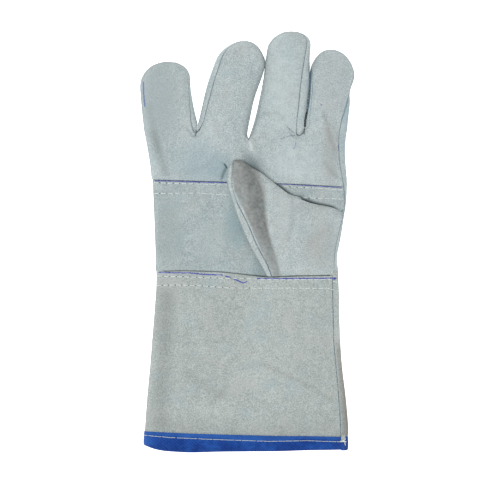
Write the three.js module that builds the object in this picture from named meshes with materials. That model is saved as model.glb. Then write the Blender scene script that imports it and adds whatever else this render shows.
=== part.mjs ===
// Split-leather gauntlet work glove for the right hand, lying palm up with its thumb folded over the palm.
// Millimetres, +X across the palm, +Y towards the fingertips, +Z up. Origin on the surface it lies on.

import * as THREE from 'three';

// Leather, binding and seam sizes
const wall = 1.6;
const bindingWall = 1.0;
const seamGap = 0.25;
const stripGap = 0.65;
const layerGap = 0.4;
const tuck = wall + layerGap + 0.05;
const underlap = 15;
const mitreLimit = 0.12;

// Section shape: a superellipse above the side edge, round corners and a flat below it
const topPower = 2.6;
const palmCorner = 12;
const fingerCorner = 8;
const backSeamAngle = 0.96;
const sideSteps = 4;

// Fingers
const fingerColumns = 6;
const fingerSide = 8;
const fingerCrown = 18;
const cornerShare = 0.35;
const tipRound = 15;
const baseBlend = 30;
const sideRows = 5;
const baseRise = 5;

// Turns at which the rows of a rounded fingertip lie, from its start to just before its top
const tipTurns = [0, 0.38, 0.74, 1.05, 1.36];

// Each finger: its outline with the insets of its two front seams, from its base up, and its tip. The tip is
// rounded off by a quarter of an ellipse on each side, which starts a given length below the top.
const littleFinger = {
  tip: { x: -66.0, y: 149.8, left: 19, right: 13 },
  sections: [
    { y: 92.0, left: -85.0, right: -41.0, seamLeft: 0, seamRight: 4.5 },
    { y: 99.0, left: -85.8, right: -42.2, seamLeft: 0, seamRight: 4.2 },
    { y: 113.0, left: -87.4, right: -44.8, seamLeft: 0, seamRight: 2.8 },
    { y: 128.0, left: -88.8, right: -47.2, seamLeft: 0, seamRight: 1.2 },
    { y: 149.8, left: -88.8, right: -47.8, seamLeft: 0, seamRight: 0 },
  ],
};
const ringFinger = {
  tip: { x: -2.0, y: 167.2, left: 14, right: 20 },
  sections: [
    { y: 88.0, left: -40.5, right: 0.0, seamLeft: 2.5, seamRight: 1.2 },
    { y: 99.0, left: -40.0, right: 2.0, seamLeft: 3.2, seamRight: 1.2 },
    { y: 113.0, left: -37.6, right: 4.6, seamLeft: 4.6, seamRight: 1.2 },
    { y: 128.0, left: -34.0, right: 9.0, seamLeft: 5.0, seamRight: 1.2 },
    { y: 143.0, left: -29.4, right: 14.4, seamLeft: 5.0, seamRight: 1.0 },
    { y: 152.5, left: -25.2, right: 14.9, seamLeft: 4.5, seamRight: 0.8 },
    { y: 167.2, left: -19.5, right: 14.9, seamLeft: 2.0, seamRight: 0 },
  ],
};
const middleFinger = {
  tip: { x: 37.0, y: 175.1, left: 16, right: 10 },
  sections: [
    { y: 88.0, left: 2.2, right: 47.6, seamLeft: 1.2, seamRight: 6.5 },
    { y: 98.0, left: 5.8, right: 48.2, seamLeft: 1.2, seamRight: 6.6 },
    { y: 113.0, left: 9.2, right: 49.5, seamLeft: 1.2, seamRight: 6.6 },
    { y: 133.0, left: 13.4, right: 51.6, seamLeft: 1.2, seamRight: 6.6 },
    { y: 143.0, left: 15.4, right: 51.9, seamLeft: 1.0, seamRight: 5.4 },
    { y: 152.5, left: 15.8, right: 52.3, seamLeft: 0.8, seamRight: 4.4 },
    { y: 163.0, left: 17.0, right: 53.2, seamLeft: 0.5, seamRight: 3.4 },
    { y: 175.1, left: 18.0, right: 53.2, seamLeft: 0, seamRight: 2.0 },
  ],
};
const indexFinger = {
  tip: { x: 70.0, y: 160.0, left: 22, right: 25 },
  sections: [
    { y: 88.0, left: 48.4, right: 82.6, seamLeft: 2.4, seamRight: 5.6 },
    { y: 98.0, left: 49.2, right: 83.6, seamLeft: 2.6, seamRight: 4.8 },
    { y: 113.0, left: 50.6, right: 85.4, seamLeft: 2.8, seamRight: 1.6 },
    { y: 128.0, left: 52.2, right: 87.4, seamLeft: 2.6, seamRight: 0 },
    { y: 138.0, left: 52.6, right: 90.0, seamLeft: 2.2, seamRight: 0 },
    { y: 160.0, left: 52.6, right: 90.0, seamLeft: 0, seamRight: 0 },
  ],
};
const fingers = [littleFinger, ringFinger, middleFinger, indexFinger];

// Where two fingers part: the front seam point and the back seam point
const crotches = [
  { strip: 'strip_little_ring', x: -41.2, backX: -41.2, y: 93.6, drop: 4.5 },
  { strip: 'strip_ring_middle', x: 1.2, backX: 1.2, y: 84.5, drop: 4.0 },
  { strip: 'strip_middle_index', x: 45.0, backX: 48.0, y: 90.0, drop: 4.5 },
];
const crotchBackZ = 2.6;
const crotchWidth = 6;
const crotchFade = 14;

// Sections of the hand and the cuff: outline, the right-hand seam, the crown and the height of the side edge
const handSections = [
  { y: 87.0, left: -84.0, right: 82.0, seam: 77.0, crown: 17.0, side: 7.0 },
  { y: 76.0, left: -82.0, right: 81.0, seam: 76.5, crown: 16.5, side: 6.6 },
  { y: 63.5, left: -80.0, right: 81.5, seam: 77.5, crown: 16.0, side: 6.2 },
  { y: 48.5, left: -78.0, right: 82.5, seam: 80.0, crown: 15.2, side: 6.0 },
  { y: 34.0, left: -77.5, right: 82.5, seam: 81.5, crown: 14.6, side: 5.8 },
  { y: 24.0, left: -77.0, right: 81.0, seam: 80.0, crown: 14.2, side: 5.6 },
  { y: 12.5, left: -76.5, right: 79.0, seam: 77.5, crown: 14.0, side: 5.5 },
  { y: -2.5, left: -76.0, right: 76.5, seam: 74.0, crown: 14.0, side: 5.5 },
  { y: -16.0, left: -75.5, right: 74.5, seam: 72.5, crown: 14.2, side: 5.6 },
  { y: -28.5, left: -75.0, right: 75.0, seam: 71.5, crown: 14.8, side: 5.8 },
  { y: -42.0, left: -75.5, right: 76.0, seam: 71.5, crown: 15.6, side: 6.2 },
  { y: -62.5, left: -77.0, right: 76.5, seam: 72.5, crown: 17.0, side: 6.8 },
  { y: -82.5, left: -78.5, right: 77.0, seam: 73.5, crown: 18.2, side: 7.2 },
  { y: -102.5, left: -80.0, right: 78.0, seam: 74.5, crown: 19.4, side: 7.6 },
  { y: -123.0, left: -82.0, right: 80.5, seam: 76.0, crown: 20.4, side: 8.0 },
  { y: -143.0, left: -83.5, right: 82.5, seam: 77.5, crown: 21.2, side: 8.4 },
  { y: -159.5, left: -84.5, right: 83.2, seam: 78.0, crown: 21.8, side: 8.8 },
  { y: -175.0, left: -85.6, right: 83.4, seam: 78.5, crown: 22.2, side: 9.0 },
];

// Edges that cross the hand, as height along Y at a place along X
const patchEdge = [
  { x: -77.5, y: 50.5 }, { x: -49.5, y: 49.5 }, { x: -16.5, y: 48.5 },
  { x: 42.5, y: 46.5 }, { x: 80.5, y: 44.5 },
];
const cuffEdge = [
  { x: -74.5, y: -25.5 }, { x: -54.5, y: -24.5 }, { x: -22.5, y: -25.5 }, { x: 1.0, y: -28.0 },
  { x: 17.5, y: -30.0 }, { x: 42.5, y: -29.0 }, { x: 71.0, y: -28.5 },
];
const mouthEdge = [
  { x: -86.0, y: -168.6 }, { x: -79.0, y: -171.0 }, { x: -70.0, y: -173.0 }, { x: -47.0, y: -174.2 },
  { x: -20.0, y: -173.4 }, { x: 83.0, y: -173.0 },
];
const bindingTop = [
  { x: -86.0, y: -159.0 }, { x: -47.0, y: -160.7 }, { x: 4.5, y: -162.0 }, { x: 80.0, y: -164.2 },
];
const dipLength = 2.6;
const dipEnd = 0.3;
const lapDrop = 0.9;
const lapDropFade = 12;
const lapSink = 0.15;

// Rows of the hand between the finger bases and the upper lap, and below it
const upperRows = [0.2, 0.45, 0.72, 1.0];
const lowerRows = [34.0, 24.0, 12.5, -2.5, -16.0];
const tuckedY = -42.0;
const insetAcross = 1.5;
const insetSide = 0.3;

// The tongue of the upper palm: how far it stands in from the seams and where it keeps clear of the thumb
const tongue = { topMargin: 3.2, endMargin: 7, clearFromX: 32, clearOver: 9, aboveThumb: 6.5 };

// The upper edge of the folded thumb, which the lower palm leather passes under
const thumbEdge = [
  { x: 29.0, y: 43.5 }, { x: 37.0, y: 38.0 }, { x: 45.0, y: 36.0 }, { x: 57.0, y: 31.5 },
  { x: 69.5, y: 28.5 }, { x: 80.5, y: 24.0 },
];

// Rows of the lower palm leather: height at the left, place under the thumb's edge, right end and tuck there
const patchRows = [
  { y: 42.0, offset: 6.0, end: null, dip: 0 },
  { y: 34.0, offset: 2.2, end: null, dip: 0 },
  { y: 30.0, offset: -0.3, end: 78.0, dip: 2.3 },
  { y: 24.0, offset: -7.0, end: 73.5, dip: 2.3 },
  { y: 12.5, offset: null, end: 44.0, dip: 0 },
  { y: -2.5, offset: null, end: 37.5, dip: 0 },
  { y: -16.0, offset: null, end: 33.0, dip: 0 },
];
const patchFootEnd = 31.0;
const patchColumns = 16;
const patchEvenShare = 0.3;
const patchSink = { fromX: 36, over: 12 };
const patchBend = { fromX: 26, over: 20 };

// Stations of the thumb from its tip to its foot under the cuff: the seam beside its left edge, its right
// end, the outer left edge, its thickness and the height of the right end. The under leather reaches all the
// way across unless a station says how far.
const thumbStations = [
  { seamX: -10.4, seamY: 66.3, endX: -6.0, endY: 67.2, outX: -10.4, outY: 66.3, thick: 8.0, end: 0.5 },
  { seamX: -12.0, seamY: 64.2, endX: -2.4, endY: 65.9, outX: -13.6, outY: 63.4, thick: 8.4, end: 0.5 },
  { seamX: -12.6, seamY: 61.2, endX: 1.6, endY: 63.6, outX: -15.2, outY: 60.2, thick: 9.2, end: 0.5 },
  { seamX: -12.5, seamY: 57.5, endX: 6.0, endY: 61.0, outX: -15.8, outY: 56.5, thick: 10.4, end: 0.5 },
  { seamX: -13.0, seamY: 52.0, endX: 13.5, endY: 55.5, outX: -16.8, outY: 51.0, thick: 11.6, end: 0.5 },
  { seamX: -12.5, seamY: 45.0, endX: 21.0, endY: 49.5, outX: -15.8, outY: 44.0, thick: 12.2, end: 0.5 },
  { seamX: -10.5, seamY: 39.0, endX: 29.0, endY: 43.5, outX: -13.8, outY: 37.5, thick: 12.2, end: 0.5 },
  { seamX: -8.5, seamY: 32.5, endX: 37.0, endY: 38.0, outX: -11.4, outY: 31.0, thick: 12.2, end: 0.5 },
  { seamX: -5.8, seamY: 27.0, endX: 45.0, endY: 36.0, outX: -9.2, outY: 25.0, thick: 12.2, end: 0.42 },
  {
    seamX: -2.5, seamY: 20.5, endX: 57.0, endY: 31.5, outX: -6.2, outY: 17.5,
    thick: 12.2, end: 0.06, under: 0.82,
  },
  {
    seamX: 1.5, seamY: 12.5, endX: 69.5, endY: 28.5, outX: -2.5, outY: 8.5,
    thick: 12.2, end: 0.02, under: 0.62,
  },
  { seamX: 6.0, seamY: 1.5, outX: 2.0, outY: -1.5, thick: 12.2, end: 0, under: 0.46, handRow: 7 },
  { seamX: 11.0, seamY: -9.0, outX: 7.3, outY: -12.0, thick: 11.6, end: 0, under: 0.42, handRow: 8 },
  { seamX: 16.0, seamY: -17.5, outX: 12.4, outY: -19.6, thick: 10.2, end: 0, under: 0.34, handRow: 9 },
  { seamX: 19.0, seamY: -22.5, outX: 15.4, outY: -24.0, thick: 8.8, end: 0, under: 0.26, handRow: 10 },
  { seamX: 21.4, seamY: -27.8, outX: 17.6, outY: -28.0, thick: 7.0, end: 0, under: 0.2, handRow: 11 },
  { seamX: 22.4, seamY: -30.0, outX: 18.4, outY: -30.2, thick: 6.6, end: 0, under: 0.17, handRow: 12 },
  { seamX: 26.5, seamY: -42.0, outX: 22.5, outY: -42.0, thick: 6.4, end: 0, under: 0.1, handRow: 13 },
];
const thumbColumns = [0, 0.06, 0.14, 0.25, 0.38, 0.52, 0.66, 0.8, 0.91, 1];
const thumbUnderColumns = [0.28, 0.52, 0.76, 0.92, 1];
const thumbSeamHeight = 0.74;
const thumbCrownHeight = 0.36;
const thumbCrownPower = 0.7;
const thumbTipHeight = 0.5;

// Side strip of the thumb from its seam round to its under side, and how the under leather rises to its end
const thumbStrip = [
  { across: 0.3, height: 0.66 }, { across: 0, height: 0.4 }, { across: 0.22, height: 0.1 },
  { across: 0.9, height: 0 },
];
const thumbFloorRise = 0.2;

// The long fold in the thumb, from below its tip to its foot
const thumbValley = { depth: 2.2, width: 5.0, fade: 12 };
const valleyLine = [
  { x: 5.0, y: 57.0 }, { x: 9.2, y: 38.5 }, { x: 12.8, y: 19.0 }, { x: 17.8, y: -2.0 }, { x: 26.5, y: -28.0 },
];

// Cuff: how far down its rows lie, and how it rises over the thumb's foot
const cuffRows = [
  { down: 0, lift: 0 }, { down: 0.05, lift: 0 }, { down: 0.11, lift: 0 }, { down: 0.18, lift: 0 },
  { down: 0.28, lift: 0 }, { down: 0.42, lift: 0 }, { down: 0.56, lift: 0 }, { down: 0.7, lift: 0 },
  { down: 0.84, lift: 0 }, { down: 0.885, lift: 1 }, { down: 1, lift: 1 },
];
const cuffTopColumns = 18;
const cuffBottomColumns = 8;
const mouthLift = bindingWall + layerGap;
const thumbRise = { height: 7.5, startX: 6, climb: 15, endX: 72, fall: 34, power: 0.8, fadeY: -38, fade: 48 };

// Colours of the leather and the binding
const paleLeather = 0xb4c0c0;
const palmLeather = 0xacb9bb;
const cuffLeather = 0xa9b2b0;
const blueTwill = 0x2a57a0;

const clamp01 = (t) => Math.min(1, Math.max(0, t));
const mix = (a, b, t) => a + (b - a) * t;
const smooth = (t) => clamp01(t) * clamp01(t) * (3 - 2 * clamp01(t));

// Value of a line of points at a place along X
function lineAt(line, x) {
  const last = line.length - 1;
  if (x <= line[0].x) return line[0].y;
  if (x >= line[last].x) return line[last].y;
  const i = line.findIndex((point) => point.x > x) - 1;
  return mix(line[i].y, line[i + 1].y, (x - line[i].x) / (line[i + 1].x - line[i].x));
}

// Hand section at a height along Y, drawn in on all sides by inset
function handAt(y, inset = 0) {
  const last = handSections.length - 1;
  let i = 0;
  while (i < last - 1 && handSections[i + 1].y > y) i += 1;
  const a = handSections[i];
  const b = handSections[i + 1];
  const t = clamp01((a.y - y) / (a.y - b.y));
  return {
    left: mix(a.left, b.left, t) + inset * insetAcross,
    right: mix(a.right, b.right, t) - inset * insetAcross,
    seam: mix(a.seam, b.seam, t) - inset * insetAcross,
    crown: mix(a.crown, b.crown, t) - inset,
    side: mix(a.side, b.side, t) - inset * insetSide,
    floor: inset,
    corner: palmCorner,
  };
}

const halfWidth = (section) => (section.right - section.left) / 2;
const middle = (section) => (section.right + section.left) / 2;

// Height of a section's upper side at x
function topZ(section, x) {
  const u = clamp01(Math.abs(x - middle(section)) / halfWidth(section));
  return section.side + (section.crown - section.side) * (1 - u ** topPower) ** (1 / topPower);
}

// Height of a section's under side at x: flat, with a quarter ellipse at each corner
function bottomZ(section, x) {
  const out = Math.abs(x - middle(section)) - (halfWidth(section) - section.corner);
  const t = clamp01(out / section.corner);
  return section.floor + (section.side - section.floor) * (1 - Math.sqrt(1 - t * t));
}

// Point on the side of a section. A positive angle lies above the side edge, a negative one below it.
function sidePoint(section, hand, angle, y) {
  const half = halfWidth(section);
  if (angle >= 0) {
    const u = Math.cos(angle) ** (2 / topPower);
    const z = section.side + (section.crown - section.side) * Math.sin(angle) ** (2 / topPower);
    return new THREE.Vector3(middle(section) + hand * half * u, y, z);
  }
  const reach = half - section.corner + section.corner * Math.cos(angle);
  const z = section.floor + (section.side - section.floor) * (1 + Math.sin(angle));
  return new THREE.Vector3(middle(section) + hand * reach, y, z);
}

// Angle on the upper side that lies a given distance inside the outline
function seamAngle(section, inset) {
  const u = clamp01(1 - inset / halfWidth(section));
  return Math.acos(u ** (topPower / 2));
}

// Drop of the palm beside each crotch
function crotchDrop(x, y) {
  let drop = 0;
  for (const crotch of crotches) {
    const across = (x - crotch.x) / crotchWidth;
    const along = (y - crotch.y) / crotchFade;
    drop += crotch.drop * Math.exp(-across * across - along * along);
  }
  return drop;
}

// Surface of quads and triangles whose faces carry the name of the leather piece that they belong to
class Skin {
  constructor() {
    this.points = [];
    this.indexOf = new Map();
    this.faces = [];
  }

  add(point) {
    const key = point.toArray().map((value) => Math.round(value * 1e4)).join(' ');
    if (!this.indexOf.has(key)) {
      this.indexOf.set(key, this.points.length);
      this.points.push(point.clone());
    }
    return this.indexOf.get(key);
  }

  triangle(a, b, c, label) {
    if (a !== b && b !== c && c !== a) this.faces.push({ corners: [a, b, c], label });
  }

  // Rows of points, each as long as the others. The faces look along row direction x column direction.
  grid(rows, labelAt) {
    const index = rows.map((row) => row.map((point) => this.add(point)));
    for (let r = 0; r + 1 < rows.length; r += 1) {
      for (let c = 0; c + 1 < rows[r].length; c += 1) {
        const label = typeof labelAt === 'string' ? labelAt : labelAt(r, c);
        this.triangle(index[r][c], index[r + 1][c], index[r + 1][c + 1], label);
        this.triangle(index[r][c], index[r + 1][c + 1], index[r][c + 1], label);
      }
    }
  }

  normals() {
    const normals = this.points.map(() => new THREE.Vector3());
    for (const face of this.faces) {
      const [a, b, c] = face.corners.map((i) => this.points[i]);
      const normal = new THREE.Vector3().crossVectors(b.clone().sub(a), c.clone().sub(a)).normalize();
      face.normal = normal;
      const sides = [[a, b, c], [b, c, a], [c, a, b]];
      sides.forEach(([corner, next, previous], k) => {
        const angle = next.clone().sub(corner).angleTo(previous.clone().sub(corner));
        normals[face.corners[k]].addScaledVector(normal, angle);
      });
    }
    return normals.map((normal) => normal.normalize());
  }

  normalNear(point) {
    if (!this.cachedNormals) this.cachedNormals = this.normals();
    let best = 0;
    this.points.forEach((candidate, i) => {
      if (candidate.distanceTo(point) < this.points[best].distanceTo(point)) best = i;
    });
    return this.cachedNormals[best];
  }

  // One leather piece: its faces, drawn back a little along its edges and given a thickness inwards
  piece(label, { gap = seamGap, edgeNormal = () => null } = {}) {
    const normals = this.normals();
    const faces = this.faces.filter((face) => face.label === label);
    const edges = new Map();
    for (const face of faces) {
      face.corners.forEach((a, k) => {
        const b = face.corners[(k + 1) % 3];
        edges.set(`${a} ${b}`, { a, b, normal: face.normal });
      });
    }
    const rim = [...edges.values()].filter((edge) => !edges.has(`${edge.b} ${edge.a}`));
    const inward = new Map();
    for (const edge of rim) {
      const along = this.points[edge.b].clone().sub(this.points[edge.a]).normalize();
      const into = new THREE.Vector3().crossVectors(edge.normal, along).normalize();
      for (const corner of [edge.a, edge.b]) {
        if (!inward.has(corner)) inward.set(corner, []);
        inward.get(corner).push(into);
      }
    }
    const used = [...new Set(faces.flatMap((face) => face.corners))];
    const place = new Map(used.map((corner, i) => [corner, i]));
    const outer = used.map((corner) => {
      const point = this.points[corner].clone();
      const sides = inward.get(corner);
      if (!sides) return point;
      const [first, second] = [sides[0], sides[sides.length - 1]];
      const reach = gap / Math.max(mitreLimit, 1 + first.dot(second));
      return point.add(first.clone().add(second).multiplyScalar(reach));
    });
    const inner = used.map((corner, i) => {
      const normal = edgeNormal(this.points[corner]) || normals[corner];
      return outer[i].clone().addScaledVector(normal, -wall);
    });
    const count = used.length;
    const triangles = [];
    for (const face of faces) {
      const [a, b, c] = face.corners.map((corner) => place.get(corner));
      triangles.push(a, b, c, a + count, c + count, b + count);
    }
    for (const edge of rim) {
      const a = place.get(edge.a);
      const b = place.get(edge.b);
      triangles.push(b, a, a + count, b, a + count, b + count);
    }
    return solid([...outer, ...inner], triangles);
  }
}

function solid(points, triangles) {
  const geometry = new THREE.BufferGeometry();
  const values = points.flatMap((point) => point.toArray());
  geometry.setAttribute('position', new THREE.Float32BufferAttribute(values, 3));
  geometry.setIndex(triangles);
  geometry.computeVertexNormals();
  return geometry;
}

// Quarter ellipse: how wide it still is at a share of its height
const quarter = (t) => Math.sqrt(Math.max(0, 1 - clamp01(t) ** 2));

// Outline and seam insets of a finger at a height along Y
function outlineAt(finger, y) {
  const { sections, tip } = finger;
  const last = sections.length - 1;
  let i = 0;
  while (i < last - 1 && sections[i + 1].y < y) i += 1;
  const [a, b] = [sections[i], sections[i + 1]];
  const t = clamp01((y - a.y) / (b.y - a.y));
  const full = (length) => quarter(1 - (tip.y - y) / length);
  return {
    left: mix(tip.x, mix(a.left, b.left, t), full(tip.left)),
    right: mix(tip.x, mix(a.right, b.right, t), full(tip.right)),
    seamLeft: mix(a.seamLeft, b.seamLeft, t),
    seamRight: mix(a.seamRight, b.seamRight, t),
  };
}

// Heights along Y of a finger's rows on one of its sides, above the base on that side
function rowHeights(finger, base) {
  const { tip } = finger;
  const reach = Math.max(tip.left, tip.right);
  const first = base + baseRise;
  const round = tip.y - reach;
  const straight = Array.from({ length: sideRows }, (_, k) => mix(first, round, k / sideRows));
  return [...straight, ...tipTurns.map((turn) => tip.y - reach * (1 - Math.sin(turn)))];
}

// Row of a finger from its height on the left to its height on the right
function slantedRow(finger, leftY, rightY) {
  const { left, seamLeft } = outlineAt(finger, leftY);
  const { right, seamRight } = outlineAt(finger, rightY);
  return { left, right, seamLeft, seamRight, yAt: (x) => mix(leftY, rightY, (x - left) / (right - left)) };
}

// Section of a finger, from its outline at one row
function fingerSection(row, tipY) {
  const full = quarter(1 - (tipY - row.yAt(middle(row))) / tipRound);
  return {
    left: row.left,
    right: row.right,
    side: fingerSide,
    crown: fingerSide + (fingerCrown - fingerSide) * full,
    floor: fingerSide * (1 - full),
    corner: Math.min(fingerCorner, (row.right - row.left) * cornerShare),
  };
}

// Height of a finger's front near its base, where it grows out of the palm
function fromPalm(point) {
  const palmZ = topZ(handAt(handSections[0].y), point.x) - crotchDrop(point.x, point.y);
  return mix(palmZ, point.z, smooth((point.y - handSections[0].y) / baseBlend));
}

// Points of a finger's section: front and back columns from left to right, and both sides from the top down
function fingerRow(finger, row) {
  const section = fingerSection(row, finger.tip.y);
  const leftSeam = seamAngle(section, row.seamLeft);
  const rightSeam = seamAngle(section, row.seamRight);
  const onRow = (hand, angle) => {
    const point = sidePoint(section, hand, angle, 0);
    return point.setY(row.yAt(point.x));
  };
  const front = [];
  const back = [];
  for (let c = 0; c <= fingerColumns; c += 1) {
    const angle = mix(Math.PI - leftSeam, rightSeam, c / fingerColumns);
    const leftHalf = angle > Math.PI / 2;
    const point = onRow(leftHalf ? -1 : 1, leftHalf ? Math.PI - angle : angle);
    if (c > 0 && c < fingerColumns) point.z = fromPalm(point);
    front.push(point);
  }
  back.push(onRow(-1, -backSeamAngle));
  for (let c = 1; c < fingerColumns; c += 1) {
    const t = (c - 1) / (fingerColumns - 2);
    const x = mix(section.left + section.corner, section.right - section.corner, t);
    back.push(new THREE.Vector3(x, row.yAt(x), section.floor));
  }
  back.push(onRow(1, -backSeamAngle));
  const left = [];
  const right = [];
  for (let s = 0; s <= sideSteps; s += 1) {
    left.push(onRow(-1, mix(leftSeam, -backSeamAngle, s / sideSteps)));
    right.push(onRow(1, mix(rightSeam, -backSeamAngle, s / sideSteps)));
  }
  return { front, back, left, right };
}

// Last row of a finger, where front and back meet over the tip. It follows the rounded outline.
function tipRow(finger, startY) {
  const { tip } = finger;
  const row = outlineAt(finger, startY);
  const line = [];
  for (let c = 0; c <= fingerColumns; c += 1) {
    const x = mix(row.left, row.right, c / fingerColumns);
    const side = x < tip.x ? { edge: row.left, length: tip.left } : { edge: row.right, length: tip.right };
    const full = quarter(1 - (tip.y - startY) / side.length);
    const along = full * ((x - tip.x) / (side.edge - tip.x));
    line.push(new THREE.Vector3(x, tip.y - side.length * (1 - quarter(along)), fingerSide));
  }
  return {
    front: line,
    back: line,
    left: Array(sideSteps + 1).fill(line[0]),
    right: Array(sideSteps + 1).fill(line[fingerColumns]),
  };
}

// Wall between the front and back leather at a crotch
function crotchWall(crotch) {
  const frontZ = topZ(handAt(crotch.y), crotch.x) - crotchDrop(crotch.x, crotch.y);
  const points = [];
  for (let s = 0; s <= sideSteps; s += 1) {
    const t = s / sideSteps;
    const x = mix(crotch.x, crotch.backX, t);
    const bulge = Math.sin(Math.PI * t);
    points.push(new THREE.Vector3(x, crotch.y + bulge, mix(frontZ, crotchBackZ, t)));
  }
  return points;
}

// Side of the hand at a section, from the front seam to the under side
function handSide(section, hand, y) {
  const from = hand > 0 ? seamAngle(section, section.right - section.seam) : 0;
  const points = [];
  for (let s = 0; s <= sideSteps; s += 1) {
    points.push(sidePoint(section, hand, mix(from, -backSeamAngle, s / sideSteps), y));
  }
  return points;
}

const baseSection = handAt(handSections[0].y);
const baseLeft = handSide(baseSection, -1, handSections[0].y);
const baseRight = handSide(baseSection, 1, handSections[0].y);
const walls = [baseLeft, ...crotches.map(crotchWall), baseRight];

// Base row of finger number i, which the palm continues
function baseRow(i) {
  const left = walls[i];
  const right = walls[i + 1];
  const front = [];
  const back = [];
  for (let c = 0; c <= fingerColumns; c += 1) {
    const t = (1 - Math.cos(Math.PI * (c / fingerColumns))) / 2;
    const edge = c === 0 ? left : c === fingerColumns ? right : null;
    const frontPoint = left[0].clone().lerp(right[0], t);
    frontPoint.z = topZ(handAt(frontPoint.y), frontPoint.x) - crotchDrop(frontPoint.x, frontPoint.y);
    const backPoint = left[sideSteps].clone().lerp(right[sideSteps], t);
    backPoint.z = bottomZ(baseSection, backPoint.x);
    front.push(edge ? edge[0] : frontPoint);
    back.push(edge ? edge[sideSteps] : backPoint);
  }
  return { front, back, left, right };
}

const skin = new Skin();
const palmTopRow = [];
const palmBackRow = [];

fingers.forEach((finger, i) => {
  const base = baseRow(i);
  const leftHeights = rowHeights(finger, base.left[0].y);
  const rightHeights = rowHeights(finger, base.right[0].y);
  const lastHeight = leftHeights.pop();
  const between = leftHeights.map((y, k) => fingerRow(finger, slantedRow(finger, y, rightHeights[k])));
  const rows = [base, ...between, tipRow(finger, lastHeight)];
  const leftLabel = i === 0 ? 'back_panel' : crotches[i - 1].strip;
  const rightLabel = i === fingers.length - 1 ? 'back_panel' : crotches[i].strip;
  skin.grid(rows.map((row) => [...row.front].reverse()), 'palm_fingers');
  skin.grid(rows.map((row) => row.back), 'back_panel');
  skin.grid(rows.map((row) => row.left), leftLabel);
  skin.grid(rows.map((row) => [...row.right].reverse()), rightLabel);
  palmTopRow.push(...base.front.slice(i === 0 ? 0 : 1));
  palmBackRow.push(...base.back.slice(i === 0 ? 0 : 1));
});

// One row of the hand: y is a number or a function of x, and inset draws the row in under another layer
function handRow(y, inset = 0) {
  const yAt = typeof y === 'number' ? () => y : y;
  const topStart = palmTopRow[0].x;
  const topSpan = palmTopRow[palmTopRow.length - 1].x - topStart;
  const backStart = palmBackRow[0].x;
  const backSpan = palmBackRow[palmBackRow.length - 1].x - backStart;
  const leftY = yAt(handSections[0].left);
  const rightY = yAt(handSections[0].seam);
  const left = handSide(handAt(leftY, inset), -1, leftY);
  const right = handSide(handAt(rightY, inset), 1, rightY);
  const front = palmTopRow.map((point, c) => {
    const x = mix(left[0].x, right[0].x, (point.x - topStart) / topSpan);
    const rowY = yAt(x);
    return new THREE.Vector3(x, rowY, topZ(handAt(rowY, inset), x) - crotchDrop(x, rowY));
  });
  const back = palmBackRow.map((point) => {
    const t = (point.x - backStart) / backSpan;
    const x = mix(left[sideSteps].x, right[sideSteps].x, t);
    const rowY = yAt(x);
    return new THREE.Vector3(x, rowY, bottomZ(handAt(rowY, inset), x));
  });
  front[0] = left[0];
  front[front.length - 1] = right[0];
  back[0] = left[sideSteps];
  back[back.length - 1] = right[sideSteps];
  return { front, back, left, right };
}

const baseY = (x) => {
  const points = palmTopRow.map((point) => ({ x: point.x, y: point.y }));
  return lineAt(points, x);
};
const patchY = (x) => lineAt(patchEdge, x);
const cuffY = (x) => lineAt(cuffEdge, x);

const handRows = [
  { front: palmTopRow, back: palmBackRow, left: walls[0], right: walls[walls.length - 1] },
  ...upperRows.map((t) => handRow((x) => mix(baseY(x), patchY(x) + dipLength, t))),
  handRow(patchY),
  ...lowerRows.map((y) => handRow(y)),
  handRow((x) => cuffY(x) + dipLength),
  handRow((x) => cuffY(x) + dipEnd, tuck),
  handRow(tuckedY, tuck),
];
const lapRow = upperRows.length;
skin.grid(handRows.map((row) => row.front), (r) => (r < lapRow ? 'palm_fingers' : 'under_palm_patch'));
skin.grid(handRows.map((row) => [...row.back].reverse()), 'back_panel');
skin.grid(handRows.map((row) => [...row.left].reverse()), 'back_panel');
skin.grid(handRows.map((row) => row.right), 'back_panel');

// The upper palm dips under the lower palm leather and runs on beneath it, clear of the thumb's edge
function lapTongue(offset, margin) {
  const source = handRows[lapRow].front;
  const start = source[0].x;
  const end = source[source.length - 1].x;
  return source.map((point) => {
    const x = mix(start + margin, end - margin, (point.x - start) / (end - start));
    const clear = smooth((x - tongue.clearFromX) / tongue.clearOver);
    const besideThumb = lineAt(thumbEdge, x) + tongue.aboveThumb;
    const y = offset > 0 ? patchY(x) + offset : mix(patchY(x) + offset, besideThumb, clear);
    const edge = Math.min(x - start, end - x);
    const drop = lapDrop * (1 - smooth(edge / lapDropFade)) + lapSink;
    return new THREE.Vector3(x, y, topZ(handAt(y, tuck), x) - drop);
  });
}
const tongueRows = [lapTongue(dipEnd, tongue.topMargin), lapTongue(-underlap, tongue.endMargin)];
skin.grid([handRows[lapRow].front, ...tongueRows], 'palm_fingers');

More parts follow.
